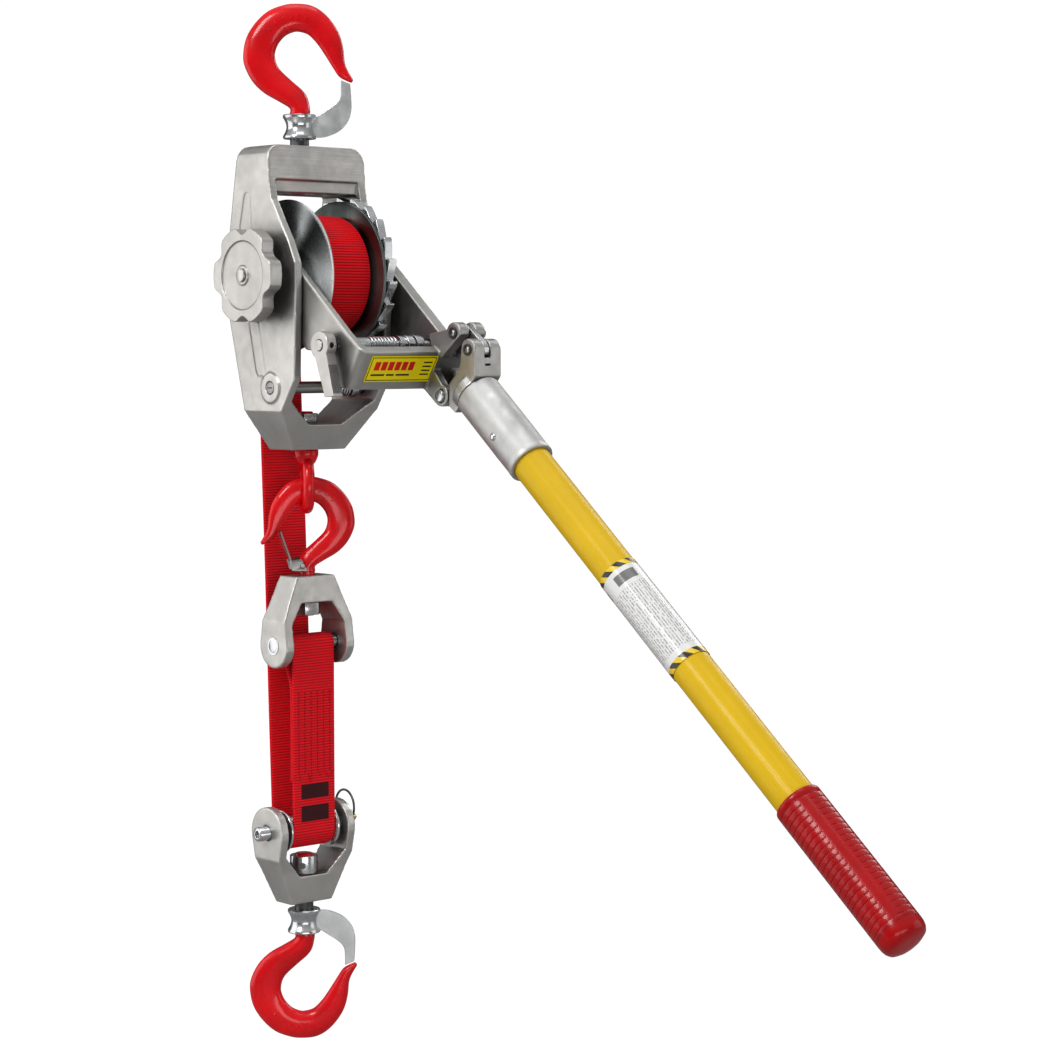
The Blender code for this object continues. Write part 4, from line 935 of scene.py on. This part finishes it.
# loose end threads where the doubled ply stops
for j in range(7):
    x = -20 + 6.4 * j + random.uniform(-2, 2)
    L = random.uniform(3, 8)
    pts = [Vector((x + random.uniform(-0.5, 0.5) * i + 0.4 * i * (j % 3 - 1), -15.9 - 0.05 * i, -421.5 - L * i / 5)) for i in range(6)]
    o = tube("strap_thread_%d" % j, pts, 0.22, 6)
    done(o, "thread", None)
    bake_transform(o)
# plain dark printed blocks near the lower end of the strap
def patch(name, x0, x1, z0, z1):
    rows = 14
    P = [[Vector((x0 + (x1 - x0) * i / 4, -15.86 - (0 if e else 0.10), z0 + (z1 - z0) * k / rows)) for e, i in [(1, 0), (0, 0), (0, 2), (0, 4), (1, 4)]] for k in range(rows + 1)]
    o = grid(name, P, [x0, x0, (x0 + x1) / 2, x1, x1, x0], [z0 + (z1 - z0) * k / rows for k in range(rows + 1)])
    done(o, "print_maroon", None)
    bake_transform(o)


patch("strap_print_a", -14, 15, -430.5, -443)
patch("strap_print_c", -14, 15, -449, -462.5)

# ---------------------------------------------------------------- stage
def area(name, loc, target, size, power, colour=(1, 1, 1)):
    l = bpy.data.lights.new(name, "AREA")
    l.shape, l.size, l.size_y, l.energy, l.color = "RECTANGLE", size[0], size[1], power, colour
    o = bpy.data.objects.new(name, l)
    bpy.context.scene.collection.objects.link(o)
    loc, target = Vector(loc) + OFF, Vector(target) + OFF
    o.location = loc
    o.rotation_euler = (Vector(target) - Vector(loc)).to_track_quat("-Z", "Y").to_euler()


fwd = Vector((0.669, 0.743, 0)).normalized()
rt = Vector((0.743, -0.669, 0)).normalized()
mid = Vector((0, -0.2, -0.2))
FLOOR = -0.93
prof = [(-4.5, 0)] + [(2.6 + 1.2 * math.sin(math.radians(a)), 1.2 - 1.2 * math.cos(math.radians(a))) for a in range(0, 91, 5)] + [(3.8, 5.0)]
V = []
for q, h in prof:
    for w in (-7, 7):
        V.append((fwd * q + rt * w + Z * (FLOOR + h)) / MM)
F = [(2 * i, 2 * i + 1, 2 * i + 3, 2 * i + 2) for i in range(len(prof) - 1)]
floor = obj("studio_sweep", V, F, sharp=60)
fm = Mat("studio_sweep_look", (0.93, 0.93, 0.93), 0.0, 0.75)
fm.b.inputs["Base Color"].default_value = (0.30, 0.30, 0.30, 1)
em = fm.node("ShaderNodeEmission")
em.inputs["Strength"].default_value = 1.05
lp = fm.node("ShaderNodeLightPath")
ms = fm.node("ShaderNodeMixShader")
fm.link(lp.outputs["Is Camera Ray"], ms.inputs[0])
fm.link(fm.b.outputs[0], ms.inputs[1])
fm.link(em.outputs[0], ms.inputs[2])
outn = [q for q in fm.t.nodes if q.type == "OUTPUT_MATERIAL"][0]
fm.link(ms.outputs[0], outn.inputs[0])
floor.data.materials.append(fm.m)
w = bpy.data.worlds.new("studio")
bpy.context.scene.world = w
w.use_nodes = True
wt = w.node_tree
tc = wt.nodes.new("ShaderNodeTexCoord")
sx = wt.nodes.new("ShaderNodeSeparateXYZ")
wt.links.new(tc.outputs["Generated"], sx.inputs[0])
cr = wt.nodes.new("ShaderNodeValToRGB")
mr = wt.nodes.new("ShaderNodeMapRange")
mr.inputs["From Min"].default_value, mr.inputs["From Max"].default_value = -1, 1
wt.links.new(sx.outputs[2], mr.inputs[0])
wt.links.new(mr.outputs[0], cr.inputs[0])
els = cr.color_ramp.elements
els[0].position, els[0].color = 0.0, (0.20, 0.20, 0.20, 1)
els[1].position, els[1].color = 1.0, (0.85, 0.86, 0.88, 1)
for p, g in ((0.42, 0.20), (0.55, 0.26), (0.68, 0.52)):
    q = els.new(p)
    q.color = (g, g, g, 1)
wt.links.new(cr.outputs[0], wt.nodes["Background"].inputs[0])
wt.nodes["Background"].inputs[1].default_value = 0.75
# the camera sees the studio wall white all round
pale = wt.nodes.new("ShaderNodeBackground")
pale.inputs[1].default_value = 1.05
wlp = wt.nodes.new("ShaderNodeLightPath")
wmx = wt.nodes.new("ShaderNodeMixShader")
wt.links.new(wlp.outputs["Is Camera Ray"], wmx.inputs[0])
wt.links.new(wt.nodes["Background"].outputs[0], wmx.inputs[1])
wt.links.new(pale.outputs[0], wmx.inputs[2])
wt.links.new(wmx.outputs[0], [q for q in wt.nodes if q.type == "OUTPUT_WORLD"][0].inputs[0])
pale.inputs[0].default_value = (1, 1, 1, 1)
area("key", mid - fwd * 1.7 - rt * 1.5 + Z * 1.7, mid, (0.8, 1.0), 30)
area("left_box", mid - rt * 2.1 + Z * 0.1, mid, (1.9, 2.2), 18)
area("right_box", mid + rt * 2.1 - fwd * 0.25, mid, (1.2, 1.9), 6.5)
area("low", mid - fwd * 1.6 - Z * 0.33 + rt * 0.4, mid, (1.5, 0.4), 6.5)
area("top", mid + Z * 2.2 - fwd * 0.2, mid, (1.4, 1.4), 11)
area("rim", mid + fwd * 1.3 + rt * 1.2 + Z * 1.0, mid, (0.6, 1.2), 8)
cd = bpy.data.cameras.new("camera")
cd.sensor_width, cd.lens, cd.clip_start, cd.clip_end = 36, 92, 0.05, 60
cam = bpy.data.objects.new("camera", cd)
bpy.context.scene.collection.objects.link(cam)
cam.location = at(-1.392, -1.834, -0.0525)
look = fwd * math.cos(math.radians(4.0)) - Z * math.sin(math.radians(4.0))
cam.rotation_euler = look.to_track_quat("-Z", "Y").to_euler()
bpy.context.scene.camera = cam
bpy.context.scene.view_settings.view_transform = "Standard"
bpy.context.scene.view_settings.exposure = 0.0
bpy.context.scene.view_settings.gamma = 0.92
